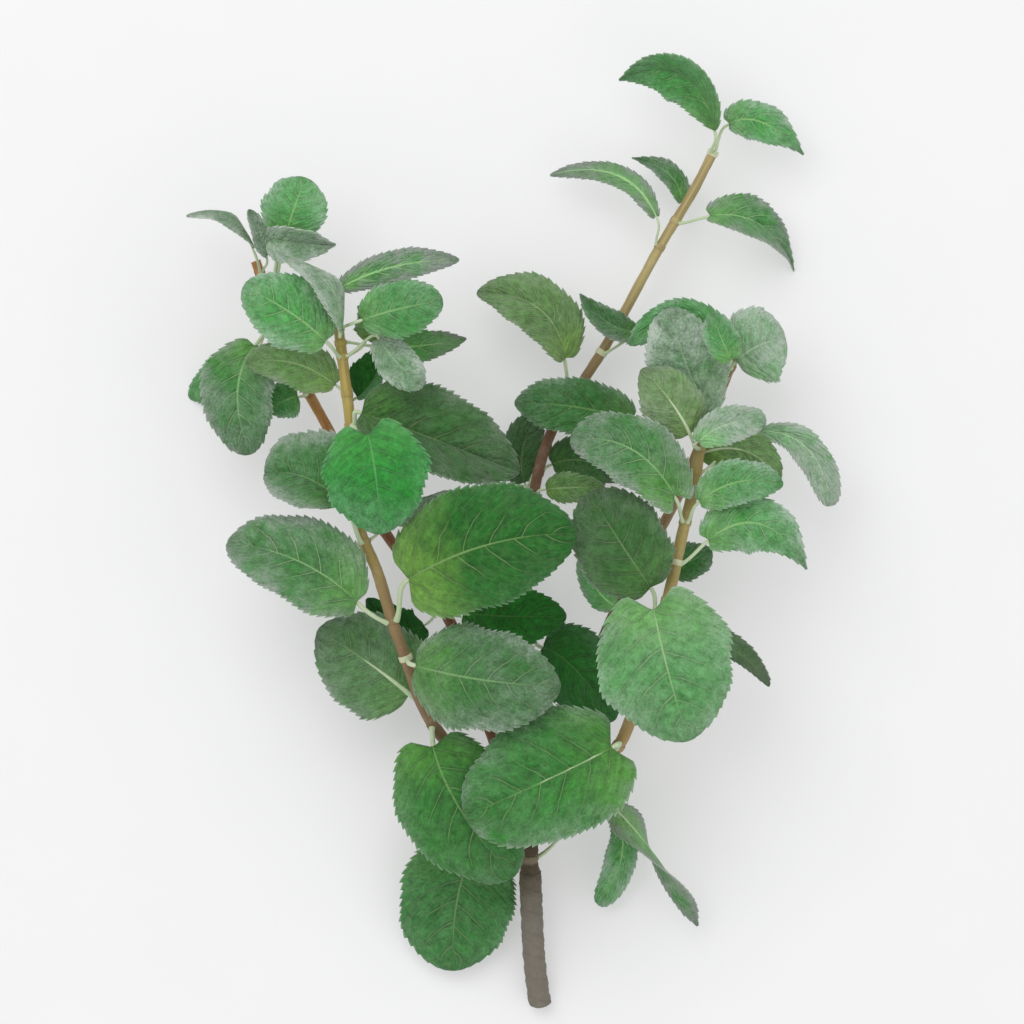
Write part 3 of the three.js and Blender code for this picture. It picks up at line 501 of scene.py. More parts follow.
def blade_spot(one, along, across, outward=0.0):
    """Places on the blade's middle surface and its upward direction there.

    Across is -1 at the right edge and 1 at the left one. Outward moves a place past its outline.
    """
    lobe = OUTLINES[one.kind][3]
    size = np.abs(across)
    side = np.where(across < 0, -1.0, 1.0)
    back = lobe * (1 - np.exp(-along / LOBE_RISE)) * np.exp(-along / LOBE_REACH)
    place = along - back * size ** 2
    _, left, out = leaf_frame(one, place)
    fold = np.radians(np.where(side > 0, *one.folds))
    angle = (fold + np.radians(one.curl) * size / 2)[..., None]
    reach = (size * half_width(one, along) + outward)[..., None]
    phase = np.where(side > 0, 1.0, 2.6)
    wave = (WAVE * np.sin(2 * np.pi * WAVE_COUNT * along + phase) * size ** 2 * (1 - along))[..., None]
    spot = midrib(one, place) + left * side[..., None] * reach * np.cos(angle)
    spot = spot + out * (reach * np.sin(angle) + wave)
    turn = (fold + np.radians(one.curl) * size)[..., None]
    return spot, out * np.cos(turn) - left * side[..., None] * np.sin(turn)


def blade_length(one):
    base, mid, tip = one.spots
    return np.linalg.norm(mid - base) + np.linalg.norm(tip - mid)


def relief(one, along, across, draw):
    """How far the blade swells between its veins and ripples, in millimetres."""
    size = np.abs(across)
    scale = min(1.0, one.width / 28) * one.rumple
    sweep = VEIN_SWEEP * size * (1 - VEIN_BEND + VEIN_BEND * size)
    strip = (along - sweep) / VEIN_SPACING + np.where(across < 0, VEIN_OFFSET, 0.0)
    pillow = np.abs(np.sin(np.pi * strip)) ** 0.7 * size ** 0.35 * (1 - size) ** 0.45
    fine = np.abs(np.sin(2 * np.pi * strip)) ** 0.8 * size ** 0.6 * (1 - size) ** 0.4
    height = scale * (PILLOW * (pillow - 0.35) + FINE_PILLOW * (fine - 0.2))
    x = across * one.width / 2
    y = along * blade_length(one)
    for wavelength, strength in RIPPLES:
        heading = draw.uniform(0, math.pi)
        phase = draw.uniform(0, 2 * math.pi)
        travel = x * math.cos(heading) + y * math.sin(heading)
        ripple = np.sin(travel * 2 * math.pi / wavelength + phase)
        height = height + strength * scale * ripple * size ** 0.8 * (1 - 0.4 * size)
    return height * np.clip(along * 8, 0, 1) * np.clip((1 - along) * 6, 0, 1)


def blade_rows(teeth):
    """Places along a blade: three for each tooth, and more where the base corners turn."""
    rows = [(k + part) / teeth for k in range(teeth) for part in ROWS_A_TOOTH]
    return np.unique(np.round(rows + list(BASE_ROWS), 9))


def edge_shape(one, along, across, teeth, draw):
    """How far teeth and slow bulges push the edge outwards, and how far the teeth lean forward."""
    tooth_sizes = np.array([draw.uniform(*TOOTH_SIZES) for _ in range(teeth)])
    rows = along[:, :1]
    share = rows * teeth % 1
    share = np.where(share > 1 - 1e-6, 0, share)
    rise = np.where(share < TOOTH_CREST, (share / TOOTH_CREST) ** 0.85, (1 - share) / (1 - TOOTH_CREST))
    rise = rise * tooth_sizes[(rows * teeth + 1e-6).astype(int)]
    size = np.abs(across)
    depth = TOOTH_DEPTH * min(1.0, 0.3 + one.width / 45) * (1 - 0.25 * along)
    phases = [draw.uniform(0, 2 * math.pi) for _ in range(4)]
    slow = np.sin(9 * along + np.where(across < 0, phases[0], phases[1]))
    slow = slow + 0.7 * np.sin(17 * along + np.where(across < 0, phases[2], phases[3]))
    bulge = np.clip(along * 6, 0, 1) * np.clip((1 - along) * 4, 0, 1) * min(1.0, one.width / 30)
    outward = depth * rise * np.clip((size - 0.8) / 0.2, 0, 1) ** 1.5
    outward = outward - TOOTH_NOTCH * depth * np.clip((size - 0.9) / 0.1, 0, 1)
    outward = outward + EDGE_UNEVENNESS * slow * bulge * size ** 3
    lean = TOOTH_LEAN / teeth * rise * np.clip((size - 0.85) / 0.15, 0, 1)
    return outward, lean


def add_blade(builder, one, seed):
    """A closed blade with saw teeth, pillows between its veins and a groove over its midrib."""
    draw = random.Random(seed)
    teeth = int(round(min(max(blade_length(one) / TOOTH_PITCH, FEWEST_TEETH), MOST_TEETH)))
    columns = np.array([-size for size in reversed(ACROSS[1:])] + list(ACROSS))
    along, across = np.meshgrid(blade_rows(teeth), columns, indexing="ij")
    outward, lean = edge_shape(one, along, across, teeth, draw)
    spot, up = blade_spot(one, np.clip(along + lean, 0, 1), across, outward)
    spot = spot + up * relief(one, along, across, draw)[..., None]
    middle = len(ACROSS) - 1
    up[:, middle] = unit(up[:, middle - 1] + up[:, middle + 1])
    size = np.abs(across)[..., None]
    lift = EDGE_LIFT + (FACE_LIFT - EDGE_LIFT) * (1 - size ** 6)
    groove = GROOVE_DEPTH * np.exp(-(size / GROOVE_WIDTH) ** 2) * (1 - along[..., None])
    tip, tip_up = blade_spot(one, np.array([1.0]), np.array([0.0]))
    upper = np.vstack([(spot + up * (lift - groove)).reshape(-1, 3), tip + tip_up * EDGE_LIFT])
    lower = np.vstack([(spot - up * lift).reshape(-1, 3), tip - tip_up * EDGE_LIFT])
    places = np.vstack([np.stack([along, (across + 1) / 2], -1).reshape(-1, 2), [1.0, 0.5]])
    top, bottom = blade_faces(*along.shape)
    builder.add(np.vstack([upper, lower]), np.vstack([places, places]),
                {one.look: top, "under_" + one.look: bottom}, one.painted_light_and_dust, one.width / DECIMETRE)


# ---- Stems, stalks and collars ----

def add_tube(builder, spots, radii, sides, paint):
    """A closed tube along the spots. Its coordinates are the distance in decimetres and the turn."""
    forward = directions_along(spots)
    side = np.cross(UP, forward[0])
    distance = np.concatenate([[0], np.cumsum(np.linalg.norm(np.diff(spots, axis=0), axis=1))])
    turn = np.arange(sides) / sides * 2 * np.pi
    rings = []
    for row, spot in enumerate(spots):
        side = without(side, forward[row])
        other = np.cross(forward[row], side)
        radius = np.broadcast_to(radii[row], turn.shape)[:, None]
        rings.append(spot + radius * (np.cos(turn)[:, None] * side + np.sin(turn)[:, None] * other))
    count = len(spots)
    places = np.stack(np.meshgrid(distance / DECIMETRE, np.arange(sides) / sides, indexing="ij"), -1)
    places = np.vstack([places.reshape(-1, 2), [[0, 0], [distance[-1] / DECIMETRE, 0]]])
    foot = count * sides
    end = foot + 1
    last_ring = (count - 1) * sides
    faces = ring_faces(count, sides)
    faces += [(foot, (k + 1) % sides, k) for k in range(sides)]
    faces += [(end, last_ring + k, last_ring + (k + 1) % sides) for k in range(sides)]
    builder.add(np.vstack([np.array(rings).reshape(-1, 3), spots[0], spots[-1]]), places, {paint: faces})


def add_stalk(builder, one, collar):
    """The stalk from the collar, and the rib that it carries on with under the blade."""
    spot, direction, radius, _ = collar
    base = one.spots[0]
    away = without(base - spot, direction)
    start = spot + away * (radius + COLLAR_GAP)
    reach = np.linalg.norm(base - start)
    forward, _, out = (part[0] for part in leaf_frame(one, np.array([0.0])))
    arrival = unit(forward * (1 - one.behind) + out * one.behind)
    end = base - arrival * STALK_END - out * STALK_SINK
    first = start * 0.7 + end * 0.3 + away * reach * 0.08
    second = end - arrival * reach * 0.3
    t = np.linspace(0, 1, STALK_STEPS + 1)[:, None]
    bow = (1 - t) ** 3 * start + 3 * t * (1 - t) ** 2 * first
    bow = bow + 3 * t ** 2 * (1 - t) * second + t ** 3 * end
    rib_along = np.linspace(RIB_START, RIB_END, RIB_STEPS)
    _, _, rib_out = leaf_frame(one, rib_along)
    stalk = STALK_RADIUS + STALK_GROWTH * one.width
    rib_radius = stalk * one.rib * np.linspace(1.0, 0.3, RIB_STEPS)
    rib = midrib(one, rib_along) - rib_out * (0.15 + 0.6 * rib_radius)[:, None]
    swell = 1 + 0.35 * np.exp(-(t[:, 0] / 0.1) ** 2)
    add_tube(builder, np.vstack([bow, rib]), np.concatenate([stalk * swell, rib_radius]), RIB_SIDES, "stalk")


def add_collar(builder, collar, paint):
    """A thin sleeve round the stem with rounded rims."""
    spot, direction, radius, reach = collar
    inner = radius + COLLAR_SLACK
    half = COLLAR_LENGTH / 2
    wall = PALE_COLLAR_WALL if paint == "collar" else COLLAR_WALL
    profile = [(-half, inner), (-half, inner + 0.5 * wall), (-half + COLLAR_RIM, inner + wall),
               (0, inner + wall * 0.85),
               (half - COLLAR_RIM, inner + wall), (half, inner + 0.5 * wall), (half, inner)]
    side = without(np.cross(direction, [0.3, 0.2, 1.0]), direction)
    other = np.cross(direction, side)
    turn = np.arange(COLLAR_SIDES) / COLLAR_SIDES * 2 * np.pi
    spokes = np.cos(turn)[:, None] * side + np.sin(turn)[:, None] * other
    spots = np.array([spot + direction * shift + spokes * ring for shift, ring in profile])
    distances = np.array([reach + shift for shift, _ in profile]) / DECIMETRE
    places = np.stack(np.meshgrid(distances, np.arange(COLLAR_SIDES) / COLLAR_SIDES, indexing="ij"), -1)
    builder.add(spots, places, {paint: ring_faces(len(profile), COLLAR_SIDES, wraps=True)})


# ---- Looks ----

def linear(red, green, blue):
    """A screen colour from 0 to 255 as the shader's linear colour."""
    parts = [value / 255 for value in (red, green, blue)]
    return tuple(p / 12.92 if p <= 0.04045 else ((p + 0.055) / 1.055) ** 2.4 for p in parts) + (1.0,)


def blend(first, second, share):
    return tuple((1 - share) * a + share * b for a, b in zip(first, second))


class Paint:
    """Builds one material's nodes. Noise scales are per metre, and most methods give back an output."""

    def __init__(self, name):
        self.material = bpy.data.materials.new(name)
        self.material.use_nodes = True
        self.tree = self.material.node_tree
        self.tree.nodes.clear()

    def put(self, socket, value):
        if isinstance(value, bpy.types.NodeSocket):
            self.tree.links.new(value, socket)
        else:
            socket.default_value = value

    def node(self, kind, settings=None, first_inputs=(), **inputs):
        """A node whose first inputs are filled in order and whose others are filled by name."""
        made = self.tree.nodes.new(kind)
        for key, value in (settings or {}).items():
            setattr(made, key, value)
        for socket, value in zip(made.inputs, first_inputs):
            self.put(socket, value)
        for key, value in inputs.items():
            self.put(made.inputs[key.replace("_", " ")], value)
        return made

    def math(self, operation, *values, clamp=False):
        settings = {"operation": operation, "use_clamp": clamp}
        return self.node("ShaderNodeMath", settings, values).outputs[0]

    def times(self, first, second, clamp=False):
        return self.math("MULTIPLY", first, second, clamp=clamp)

    def ramp(self, value, slope, start, clamp=False):
        """The start plus the value times the slope."""
        return self.math("MULTIPLY_ADD", value, slope, start, clamp=clamp)

    def gap(self, value, other):
        """How far the value is from another."""
        return self.math("ABSOLUTE", self.math("SUBTRACT", value, other))

    def step(self, value, low, high):
        """0 below low, 1 above high, and smooth between them."""
        settings = {"interpolation_type": "SMOOTHSTEP"}
        return self.node("ShaderNodeMapRange", settings, (value, low, high)).outputs[0]

    def fade(self, value, low, high):
        """1 below low, 0 above high, and smooth between them."""
        return self.math("SUBTRACT", 1.0, self.step(value, low, high))

    def mix(self, factor, first, second, blend_type="MIX"):
        made = self.node("ShaderNodeMix", {"data_type": "RGBA", "blend_type": blend_type}, [factor])
        self.put(made.inputs[6], first)
        self.put(made.inputs[7], second)
        return made.outputs[2]

    def tint(self, colour, other, mask, strength):
        """The colour with some of a screen colour mixed in where the mask is."""
        return self.mix(self.times(mask, strength), colour, linear(*other))

    def shaded(self, colour, shade, factor=1.0):
        """The colour times a grey shade."""
        return self.mix(factor, colour, self.vector(shade, shade, shade), "MULTIPLY")

    def vector(self, *parts):
        return self.node("ShaderNodeCombineXYZ", None, parts).outputs[0]

    def noise(self, where, scale, detail=3.0, roughness=0.55, distortion=0.0):
        made = self.node("ShaderNodeTexNoise", Vector=where, Scale=scale, Detail=detail,
                         Roughness=roughness, Distortion=distortion)
        return made.outputs["Fac"]

    def stretched_noise(self, layer, stretch, scale, distortion=0.0):
        """Noise along and across a surface, with how often it repeats along each of them."""
        along, across = layer
        place = self.vector(self.times(along, stretch[0]), self.times(across, stretch[1]), 0.0)
        return self.noise(place, scale, 3.0, 0.6, distortion)

    def place(self):
        return self.node("ShaderNodeTexCoord").outputs["Object"]

    def coordinates(self, layer):
        layer_place = self.node("ShaderNodeUVMap", {"uv_map": layer}).outputs[0]
        made = self.node("ShaderNodeSeparateXYZ", None, [layer_place])
        return made.outputs[:2]

    def finish(self, colour, roughness, height, strength, distance, specular, sheen=0.0, glow=0.0):
        """The material, with its height as bumps. Sheen is soft fuzz, and glow is light of its own."""
        bump = self.node("ShaderNodeBump", Height=height, Strength=strength, Distance=distance)
        shader = self.node("ShaderNodeBsdfPrincipled", Base_Color=colour, Roughness=roughness,
                           Normal=bump.outputs[0], Specular_IOR_Level=specular, Sheen_Weight=sheen,
                           Sheen_Roughness=SHEEN_ROUGHNESS, Sheen_Tint=SHEEN_TINT,
                           Emission_Color=WHITE, Emission_Strength=glow)
        out = self.node("ShaderNodeOutputMaterial")
        self.tree.links.new(shader.outputs[0], out.inputs[0])
        return self.material


# Each look's green, the green of the blade's base, its veins' and its dust's colour,
# then how dusty the whole blade, its edge and its tip are, and how strong the veins show.
# The edge's dust is partly pale fuzz and partly painted sheen.
# The darkest look and the shade look are greens for leaves that lie in shade: painted shade.
LEAF_LOOKS = {
    "fresh": ((56, 134, 56), (88, 150, 62), (146, 192, 124), (158, 182, 160), 0.2, 0.45, 0.25, 0.8),
    "bright": ((30, 132, 40), (56, 144, 54), (108, 182, 108), (150, 186, 158), 0.04, 0.15, 0.5, 0.5),
    "mid": ((38, 108, 34), (66, 124, 42), (118, 164, 94), (138, 152, 138), 0.12, 0.5, 0.35, 0.7),
    "deep": ((20, 88, 18), (32, 94, 26), (70, 120, 56), (90, 114, 94), 0.06, 0.25, 0.15, 0.5),
    "dusty": ((42, 104, 38), (74, 132, 48), (134, 174, 116), (142, 152, 142), 0.28, 0.62, 0.45, 0.7),
    "pale": ((68, 132, 66), (92, 148, 74), (150, 190, 130), (146, 170, 146), 0.28, 0.4, 0.25, 0.6),
    "shade": ((40, 88, 32), (60, 106, 40), (104, 132, 82), (114, 122, 110), 0.18, 0.5, 0.45, 0.6),
    "silver": ((74, 118, 72), (92, 142, 80), (150, 174, 142), (170, 184, 170), 0.62, 0.65, 0.4, 0.35),
    "yellow": ((22, 100, 20), (106, 154, 60), (142, 184, 108), (126, 148, 128), 0.04, 0.25, 0.1, 0.6),
    "olive": ((80, 122, 58), (102, 140, 60), (152, 180, 122), (142, 152, 134), 0.22, 0.4, 0.25, 0.6),
}


def vein_masks(paint, place, along, across, size):
    """Where each place would be if veins ran straight across, and the veins, their flanks and the rib."""
    girth, _ = paint.coordinates("girth")
    bend = paint.ramp(size, VEIN_SWEEP * VEIN_BEND, VEIN_SWEEP * (1 - VEIN_BEND))
    swept = paint.math("SUBTRACT", along, paint.times(size, bend))
    wobble = paint.ramp(paint.noise(place, CLOUD_SCALE, 2.0), VEIN_WOBBLE, -VEIN_WOBBLE / 2)
    swept = paint.math("ADD", swept, wobble)
    side = paint.math("GREATER_THAN", across, 0.0)
    shift = paint.ramp(side, -VEIN_OFFSET, VEIN_OFFSET)
    strip = paint.math("ADD", paint.math("DIVIDE", swept, VEIN_SPACING), shift)
    gap = paint.math("SUBTRACT", 0.5, paint.gap(paint.math("FRACT", strip), 0.5))
    thick = paint.math("DIVIDE", paint.ramp(size, *VEIN_THICKNESS), paint.math("SQRT", girth))
    fade = paint.fade(paint.math("ADD", size, paint.noise(place, 160.0, 1.0)), *VEIN_FADE)
    veins = paint.times(paint.fade(paint.math("DIVIDE", gap, thick), 0.25, 1.0), fade)
    flanks = paint.times(paint.fade(gap, *FLANK_REACH), fade)
    rib_thick = paint.math("DIVIDE", paint.ramp(along, *RIB_THICKNESS), girth)
    rib = paint.fade(paint.math("DIVIDE", size, rib_thick), 0.35, 1.0)
    return swept, veins, flanks, rib


def leaf_cells(paint, place, across, swept):
    """Swellings drawn out along the side veins, the fine veins between them, and streaky blotches."""
    variety = paint.times(paint.noise(place, 12.0, 0.0), 6.0)
    cell_place = paint.vector(paint.times(swept, CELLS_A_STRIP / VEIN_SPACING),
                              paint.times(across, CELLS_ACROSS), variety)
    cells = paint.node("ShaderNodeTexVoronoi", {"feature": "F1"}, Vector=cell_place, Scale=1.0)
    net = paint.node("ShaderNodeTexVoronoi", {"feature": "DISTANCE_TO_EDGE"}, Vector=cell_place, Scale=1.0)
    streak = paint.stretched_noise((swept, across), (18.0, 5.0), 1.2, distortion=1.2)
    blotch = paint.noise(place, BLOTCH_SCALE, 4.0, 0.65)
    mottle = paint.ramp(paint.ramp(blotch, 1.6, streak), 1.2, -1.06, clamp=True)
    net_lines = paint.fade(net.outputs["Distance"], 0.02, 0.16)
    swelling = paint.math("SUBTRACT", 1.0, cells.outputs["Distance"], clamp=True)
    return swelling, net_lines, mottle


def leaf_paint(name, look, under):
    """Velvety leaf cloth: green from base to tip, pale curved veins, fine streaks and dust, with painted
    light and shade over its swellings and vein flanks.
    """
    green, young, vein, dust, dust_all, dust_and_sheen_edge, dust_tip, vein_strength = look
    if under:
        green = blend(green, UNDER_GREEN, 0.45)
        young = blend(young, UNDER_YOUNG, 0.2)
        dust_all += UNDER_DUST
    paint = Paint(name)
    place = paint.place()
    along, half = paint.coordinates("blade")
    across = paint.ramp(half, 2.0, -1.0)
    size = paint.math("ABSOLUTE", across)
    # Light is this leaf's painted light and shade, a factor on its whole colour; dusty scales its dust.
    light, dusty = paint.coordinates("painted_light_and_dust")
    swept, veins, flanks, rib = vein_masks(paint, place, along, across, size)
    swelling, net_lines, mottle = leaf_cells(paint, place, across, swept)
    fine = paint.noise(place, FINE_SCALE, 2.0, 0.7)
    patch = paint.noise(place, PATCH_SCALE)

    # Green, and what darkens it: each mask's strength, and the shade where the mask is 0. Light is the leaf's
    # painted light and shade, the swellings get a painted highlight on their crests, and the flanks of the
    # veins get painted shade; mottle and fine grain are the cloth's own streaks.
    youth = paint.fade(paint.ramp(patch, 0.3, along), *YOUTH_REACH)
    colour = paint.mix(youth, linear(*green), linear(*young))
    darker = tuple(part * PATCH_SHADE for part in linear(*green)[:3]) + (1.0,)
    colour = paint.mix(paint.times(paint.step(patch, 0.45, 0.7), 0.45), colour, darker)
    shade = light
    for mask, strength, start in ((mottle, 0.84, 0.7), (fine, 0.6, 0.7), (swelling, 0.3, 0.84),
                                  (flanks, -0.26, 1.0)):
        shade = paint.times(shade, paint.ramp(mask, strength, start))
    colour = paint.shaded(colour, shade)
    colour = paint.tint(colour, vein, net_lines, 0.1 * vein_strength)

    # Dust, thicker on the edge and the tip, and broken up by three sizes of noise. On the edge it is partly
    # painted sheen.
    edge = paint.times(paint.math("POWER", size, 4.0), dust_and_sheen_edge * 1.5)
    tip = paint.times(paint.math("POWER", along, 3.0), dust_tip)
    grey = paint.math("ADD", paint.math("ADD", edge, tip), dust_all)
    grey = paint.times(paint.times(grey, dusty), paint.ramp(mottle, 1.1, 0.55))
    cloud = paint.ramp(paint.noise(place, CLOUD_SCALE, 4.0, 0.65), 2.2, -0.6)
    grey = paint.times(paint.times(grey, cloud), paint.ramp(fine, 2.4, -0.3), clamp=True)
    colour = paint.mix(grey, colour, linear(*dust))

    # Side veins and the rib, which fades towards the tip, in vein colour scaled by the painted light, and a
    # pale rim of fuzz that is partly painted sheen.
    lit_vein = paint.shaded(linear(*vein), light)
    colour = paint.mix(paint.times(veins, 0.9 * vein_strength), colour, lit_vein)
    rib_fade = paint.ramp(paint.step(along, 0.35, 1.0), -0.55, 1.0)
    rib_share = paint.times(rib_fade, 0.45 + 0.5 * vein_strength)
    colour = paint.mix(paint.times(rib, rib_share), colour, lit_vein)
    colour = paint.tint(colour, RIM_FUZZ_AND_SHEEN_COLOUR, paint.step(size, 0.95, 1.0), 0.08 + 0.22 * dust_and_sheen_edge)

    height = paint.times(mottle, 0.7)
    for mask, strength in ((veins, -0.3), (swelling, 1.1), (fine, 0.35), (rib, 0.5)):
        height = paint.ramp(mask, strength, height)
    return paint.finish(colour, 0.68, height, 0.85, 0.0007, 0.28, sheen=0.15)


def stalk_paint():
    """Pale green stalks with whitish fuzz."""
    paint = Paint("stalk")
    place = paint.place()
    fuzz = paint.noise(place, 900.0, 3.0, 0.7)
    cloud = paint.noise(place, 120.0)
    colour = paint.mix(paint.step(cloud, 0.3, 0.75), linear(176, 192, 152), linear(150, 174, 124))
    colour = paint.tint(colour, (226, 232, 214), fuzz, 0.4)
    return paint.finish(colour, 0.6, fuzz, 0.35, 0.0004, 0.35, sheen=0.15)


def collar_paint():
    """Cream sleeves with darker clouds."""
    paint = Paint("collar")
    cloud = paint.noise(paint.place(), 160.0, 4.0)
    colour = paint.mix(paint.step(cloud, 0.38, 0.68), linear(198, 198, 164), linear(172, 174, 134))
    return paint.finish(colour, 0.55, cloud, 0.4, 0.0004, 0.4, sheen=0.08)


def branch_paint(name, lower, upper, change):
    """Ochre plastic bark that turns brown towards the foot, with fine lengthwise grain and a dusty bloom."""
    paint = Paint(name)
    place = paint.place()
    layer = paint.coordinates("blade")
    reach = paint.ramp(paint.noise(place, 60.0), 0.2, layer[0])
    colour = paint.mix(paint.step(reach, change - 0.25, change + 0.45), linear(*lower), linear(*upper))
    grain = paint.stretched_noise(layer, (9.0, 26.0), 1.5)
    brown = paint.step(paint.stretched_noise(layer, (2.5, 5.0), 1.0), 0.42, 0.66)
    colour = paint.tint(colour, lower, brown, 0.5)
    colour = paint.shaded(colour, paint.ramp(grain, 0.5, 0.8), 0.8)
    bloom = paint.step(paint.noise(place, 300.0, 4.0, 0.7), 0.48, 0.8)
    colour = paint.tint(colour, (186, 178, 148), bloom, 0.28)
    return paint.finish(colour, 0.5, paint.ramp(bloom, 0.3, grain), 0.35, 0.0004, 0.4, sheen=0.05)


def tape_paint():
    """Grey-brown floral tape, darker near the crown, with soft wrap lines and crumples."""
    paint = Paint("main_stem_tape")
    place = paint.place()
    distance, turn = paint.coordinates("blade")
    wrap = paint.math("FRACT", paint.ramp(distance, DECIMETRE / TAPE_PITCH, turn))
    seam = paint.fade(paint.gap(wrap, 0.5), 0.0, 0.09)
    cloud = paint.noise(place, 130.0, 5.0, 0.62)
    crumple = paint.noise(place, 520.0, 4.0, 0.7, 0.6)
    away = paint.step(paint.ramp(cloud, 0.14, distance), 0.12, 0.36)
    colour = paint.mix(away, linear(76, 64, 48), linear(114, 108, 98))
    neck = paint.fade(paint.gap(distance, 0.075), 0.006, 0.02)
    colour = paint.tint(colour, (140, 128, 108), neck, 0.6)
    colour = paint.tint(colour, (72, 62, 52), seam, 0.12)
    colour = paint.shaded(colour, paint.ramp(crumple, 0.6, 0.7), 0.8)
    height = paint.ramp(crumple, 0.8, paint.times(seam, -0.5))
    return paint.finish(colour, 0.85, height, 0.5, 0.0005, 0.25, sheen=0.1)


def floor_paint():
    """A pale floor lit softly from below as well, as on a light table, so that shadows stay faint."""
    paint = Paint("studio_floor")
    grain = paint.noise(paint.place(), 40.0, 2.0)
    colour = paint.mix(grain, (0.505, 0.505, 0.51, 1.0), (0.52, 0.52, 0.525, 1.0))
    return paint.finish(colour, 0.9, grain, 0.02, 0.0002, 0.1, glow=0.31)


# The colours near a branch's foot and further out, and where they meet, in decimetres.
BARKS = {
    "left_front": ((120, 96, 68), (164, 146, 74), 1.0),
    "left_back": ((106, 62, 40), (164, 116, 58), 1.2),
    "middle": ((106, 74, 52), (164, 150, 98), 1.6),
    "right_front": ((152, 126, 80), (150, 134, 76), 0.7),
    "right_back": ((116, 84, 62), (150, 126, 88), 1.0),
}

MATERIALS = {"stalk": stalk_paint(), "collar": collar_paint(), "main_stem": tape_paint()}
for bark_name, bark in BARKS.items():
    MATERIALS[bark_name] = branch_paint(bark_name + "_bark", *bark)
for look_name, look_values in LEAF_LOOKS.items():
    MATERIALS[look_name] = leaf_paint(look_name + "_leaf", look_values, False)
    MATERIALS["under_" + look_name] = leaf_paint(look_name + "_leaf_underside", look_values, True)


# ---- The sprig ----

# Pairs whose collar is cream. The others have the colour of their branch.
PALE_COLLARS = ("left_front_pair_2", "middle_pair_5", "middle_pair_8", "right_front_pair_3")


def taped_radii(distance, sides):
    """The main stem's radius along and around it, with wrapped, crumpled tape and a torn end."""
    wrap = (distance / TAPE_PITCH + sides) % 1
    crumple = 0.09 * np.sin(distance * 1.3 + 3 * np.sin(2 * np.pi * sides))
    crumple = crumple + 0.07 * np.sin(distance * 2.9 + 12 * np.pi * sides)
    end = np.clip((distance - distance[-1] + TORN_LENGTH) / TORN_LENGTH, 0, 1)
    torn = 0.55 * np.sin(2 * np.pi * (sides + 0.1)) + 0.12 * np.sin(10 * np.pi * sides) + 0.1
    radii = stem_radius("main_stem", distance) + TAPE_STEP * (wrap - 0.5) + crumple + end * torn
    return radii * np.sqrt(1 - 0.45 * np.clip((end - 0.72) / 0.28, 0, 1) ** 2)


def bark_radii(name, distance, sides):
    """A branch's radius along and around it, slightly uneven."""
    turn = 2 * np.pi * sides
    uneven = 0.05 * np.sin(distance * 0.55 + 2 * turn) + 0.03 * np.sin(distance * 1.7 - 3 * turn)
    return stem_radius(name, distance) + uneven


def stem_piece(name):
    line = LINES[name]
    main = name == "main_stem"
    length = np.linalg.norm(np.diff(line, axis=0), axis=1).sum()
    rows, count = (MAIN_ROWS, MAIN_SIDES) if main else (int(length / BRANCH_STEP), BRANCH_SIDES)
    spots = line[np.linspace(0, len(line) - 1, rows).astype(int)]
    distance = np.linalg.norm(spots - spots[0], axis=1)[:, None]
    sides = np.arange(count) / count
    builder = Builder()
    if main:
        add_tube(builder, spots, taped_radii(distance, sides), count, name)
        piece = builder.mesh("main_stem_wrap", MATERIALS)
        node, slot_name = "main_stem", "main_stem_tape"
    else:
        add_tube(builder, spots, bark_radii(name, distance, sides), count, name)
        piece = builder.mesh(name + "_branch_bark", MATERIALS)
        node, slot_name = name + "_branch", "branch_stems"
    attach(piece, "root")
    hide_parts(node)


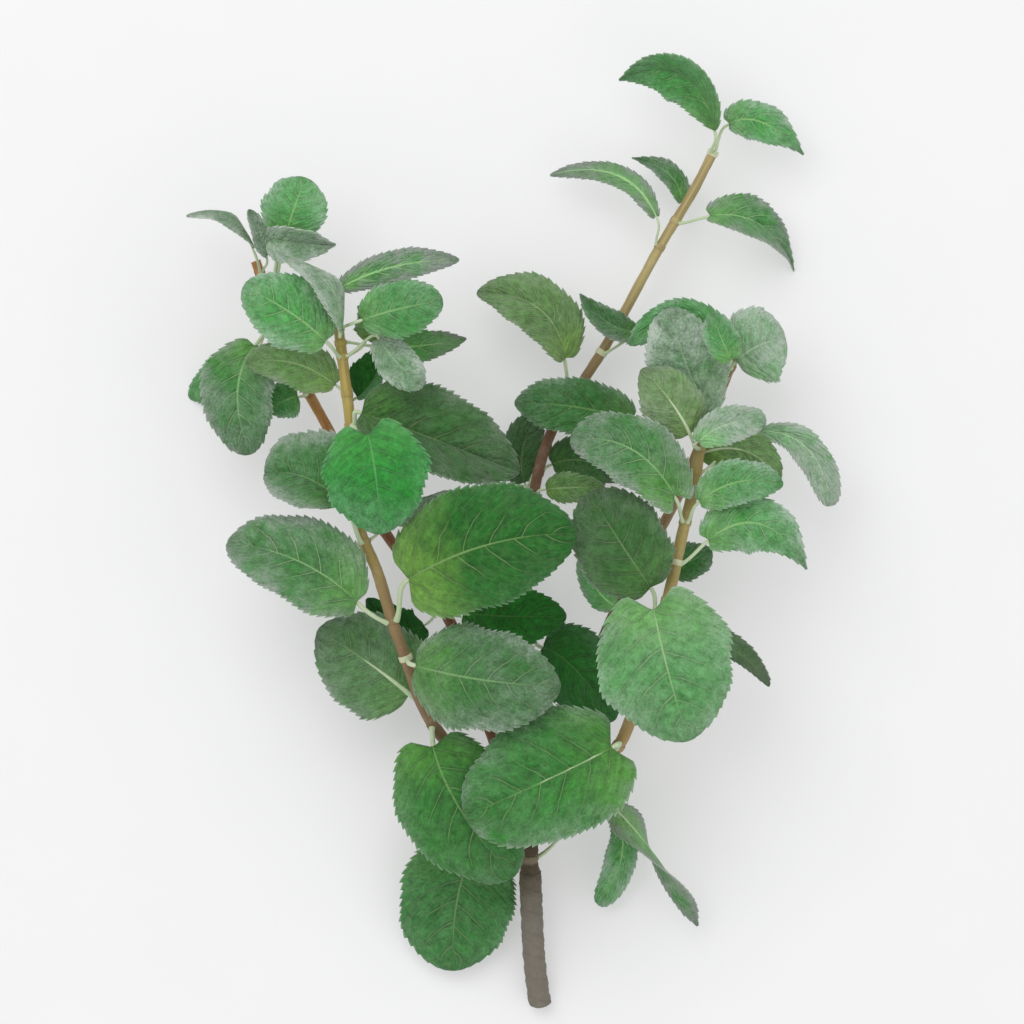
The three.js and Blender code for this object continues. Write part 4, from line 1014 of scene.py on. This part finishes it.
def pair_piece(name, stem, place, leaves):
    collar = nearest_on_stem(stem, place)
    builder = Builder()
    add_collar(builder, collar, "collar" if name in PALE_COLLARS else stem)
    for number, one in enumerate(leaves):
        add_blade(builder, one, f"{name} {number}")
        add_stalk(builder, one, collar)
    piece = builder.mesh(name + "_foliage", MATERIALS)
    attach(piece, "root")
    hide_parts(name)


LINES = {name: centre_line(path) for name, (_, path) in STEMS.items()}
for stem_name in STEMS:
    stem_piece(stem_name)
for pair_name, pair_place, pair_leaves in PAIRS:
    pair_piece(pair_name, pair_name.split("_pair")[0], pair_place, pair_leaves)


# ---- Stage, light and camera ----

def add_floor():
    mesh = bpy.data.meshes.new("studio_floor")
    corners = [(-FLOOR_REACH, -FLOOR_REACH, 0), (FLOOR_REACH, -FLOOR_REACH, 0),
               (FLOOR_REACH, FLOOR_REACH, 0), (-FLOOR_REACH, FLOOR_REACH, 0)]
    mesh.from_pydata(corners, [], [(0, 1, 2, 3)])
    mesh.materials.append(floor_paint())
    floor = in_scene("studio_floor", mesh)


def add_light(name, place, size, power):
    """A square lamp aimed at the sprig."""
    lamp = bpy.data.lights.new(name, "AREA")
    lamp.shape = "SQUARE"
    lamp.size = size
    lamp.energy = power
    light = in_scene(name, lamp)
    light.location = place
    light.rotation_mode = "QUATERNION"
    light.rotation_quaternion = (Vector(LIGHT_AIM) - Vector(place)).to_track_quat("-Z", "Y")


def add_world(strength):
    world = bpy.data.worlds.new("studio")
    bpy.context.scene.world = world
    world.use_nodes = True
    back = world.node_tree.nodes["Background"]
    back.inputs[0].default_value = WHITE
    back.inputs[1].default_value = strength


def add_camera():
    """Looks straight down, from a distance above the sprig's middle height."""
    lens = bpy.data.cameras.new("camera")
    lens.lens = 200
    lens.sensor_width = 36
    camera = in_scene("camera", lens)
    camera.location = (*VIEW_CENTRE, REFERENCE_HEIGHT + CAMERA_DISTANCE)
    bpy.context.scene.camera = camera


add_floor()
add_light("key", (-0.5, 0.8, 1.7), size=1.4, power=17)
add_light("fill", (1.2, -0.8, 1.3), size=1.6, power=5)
add_world(0.79)
add_camera()
bpy.context.scene.view_settings.view_transform = "Standard"
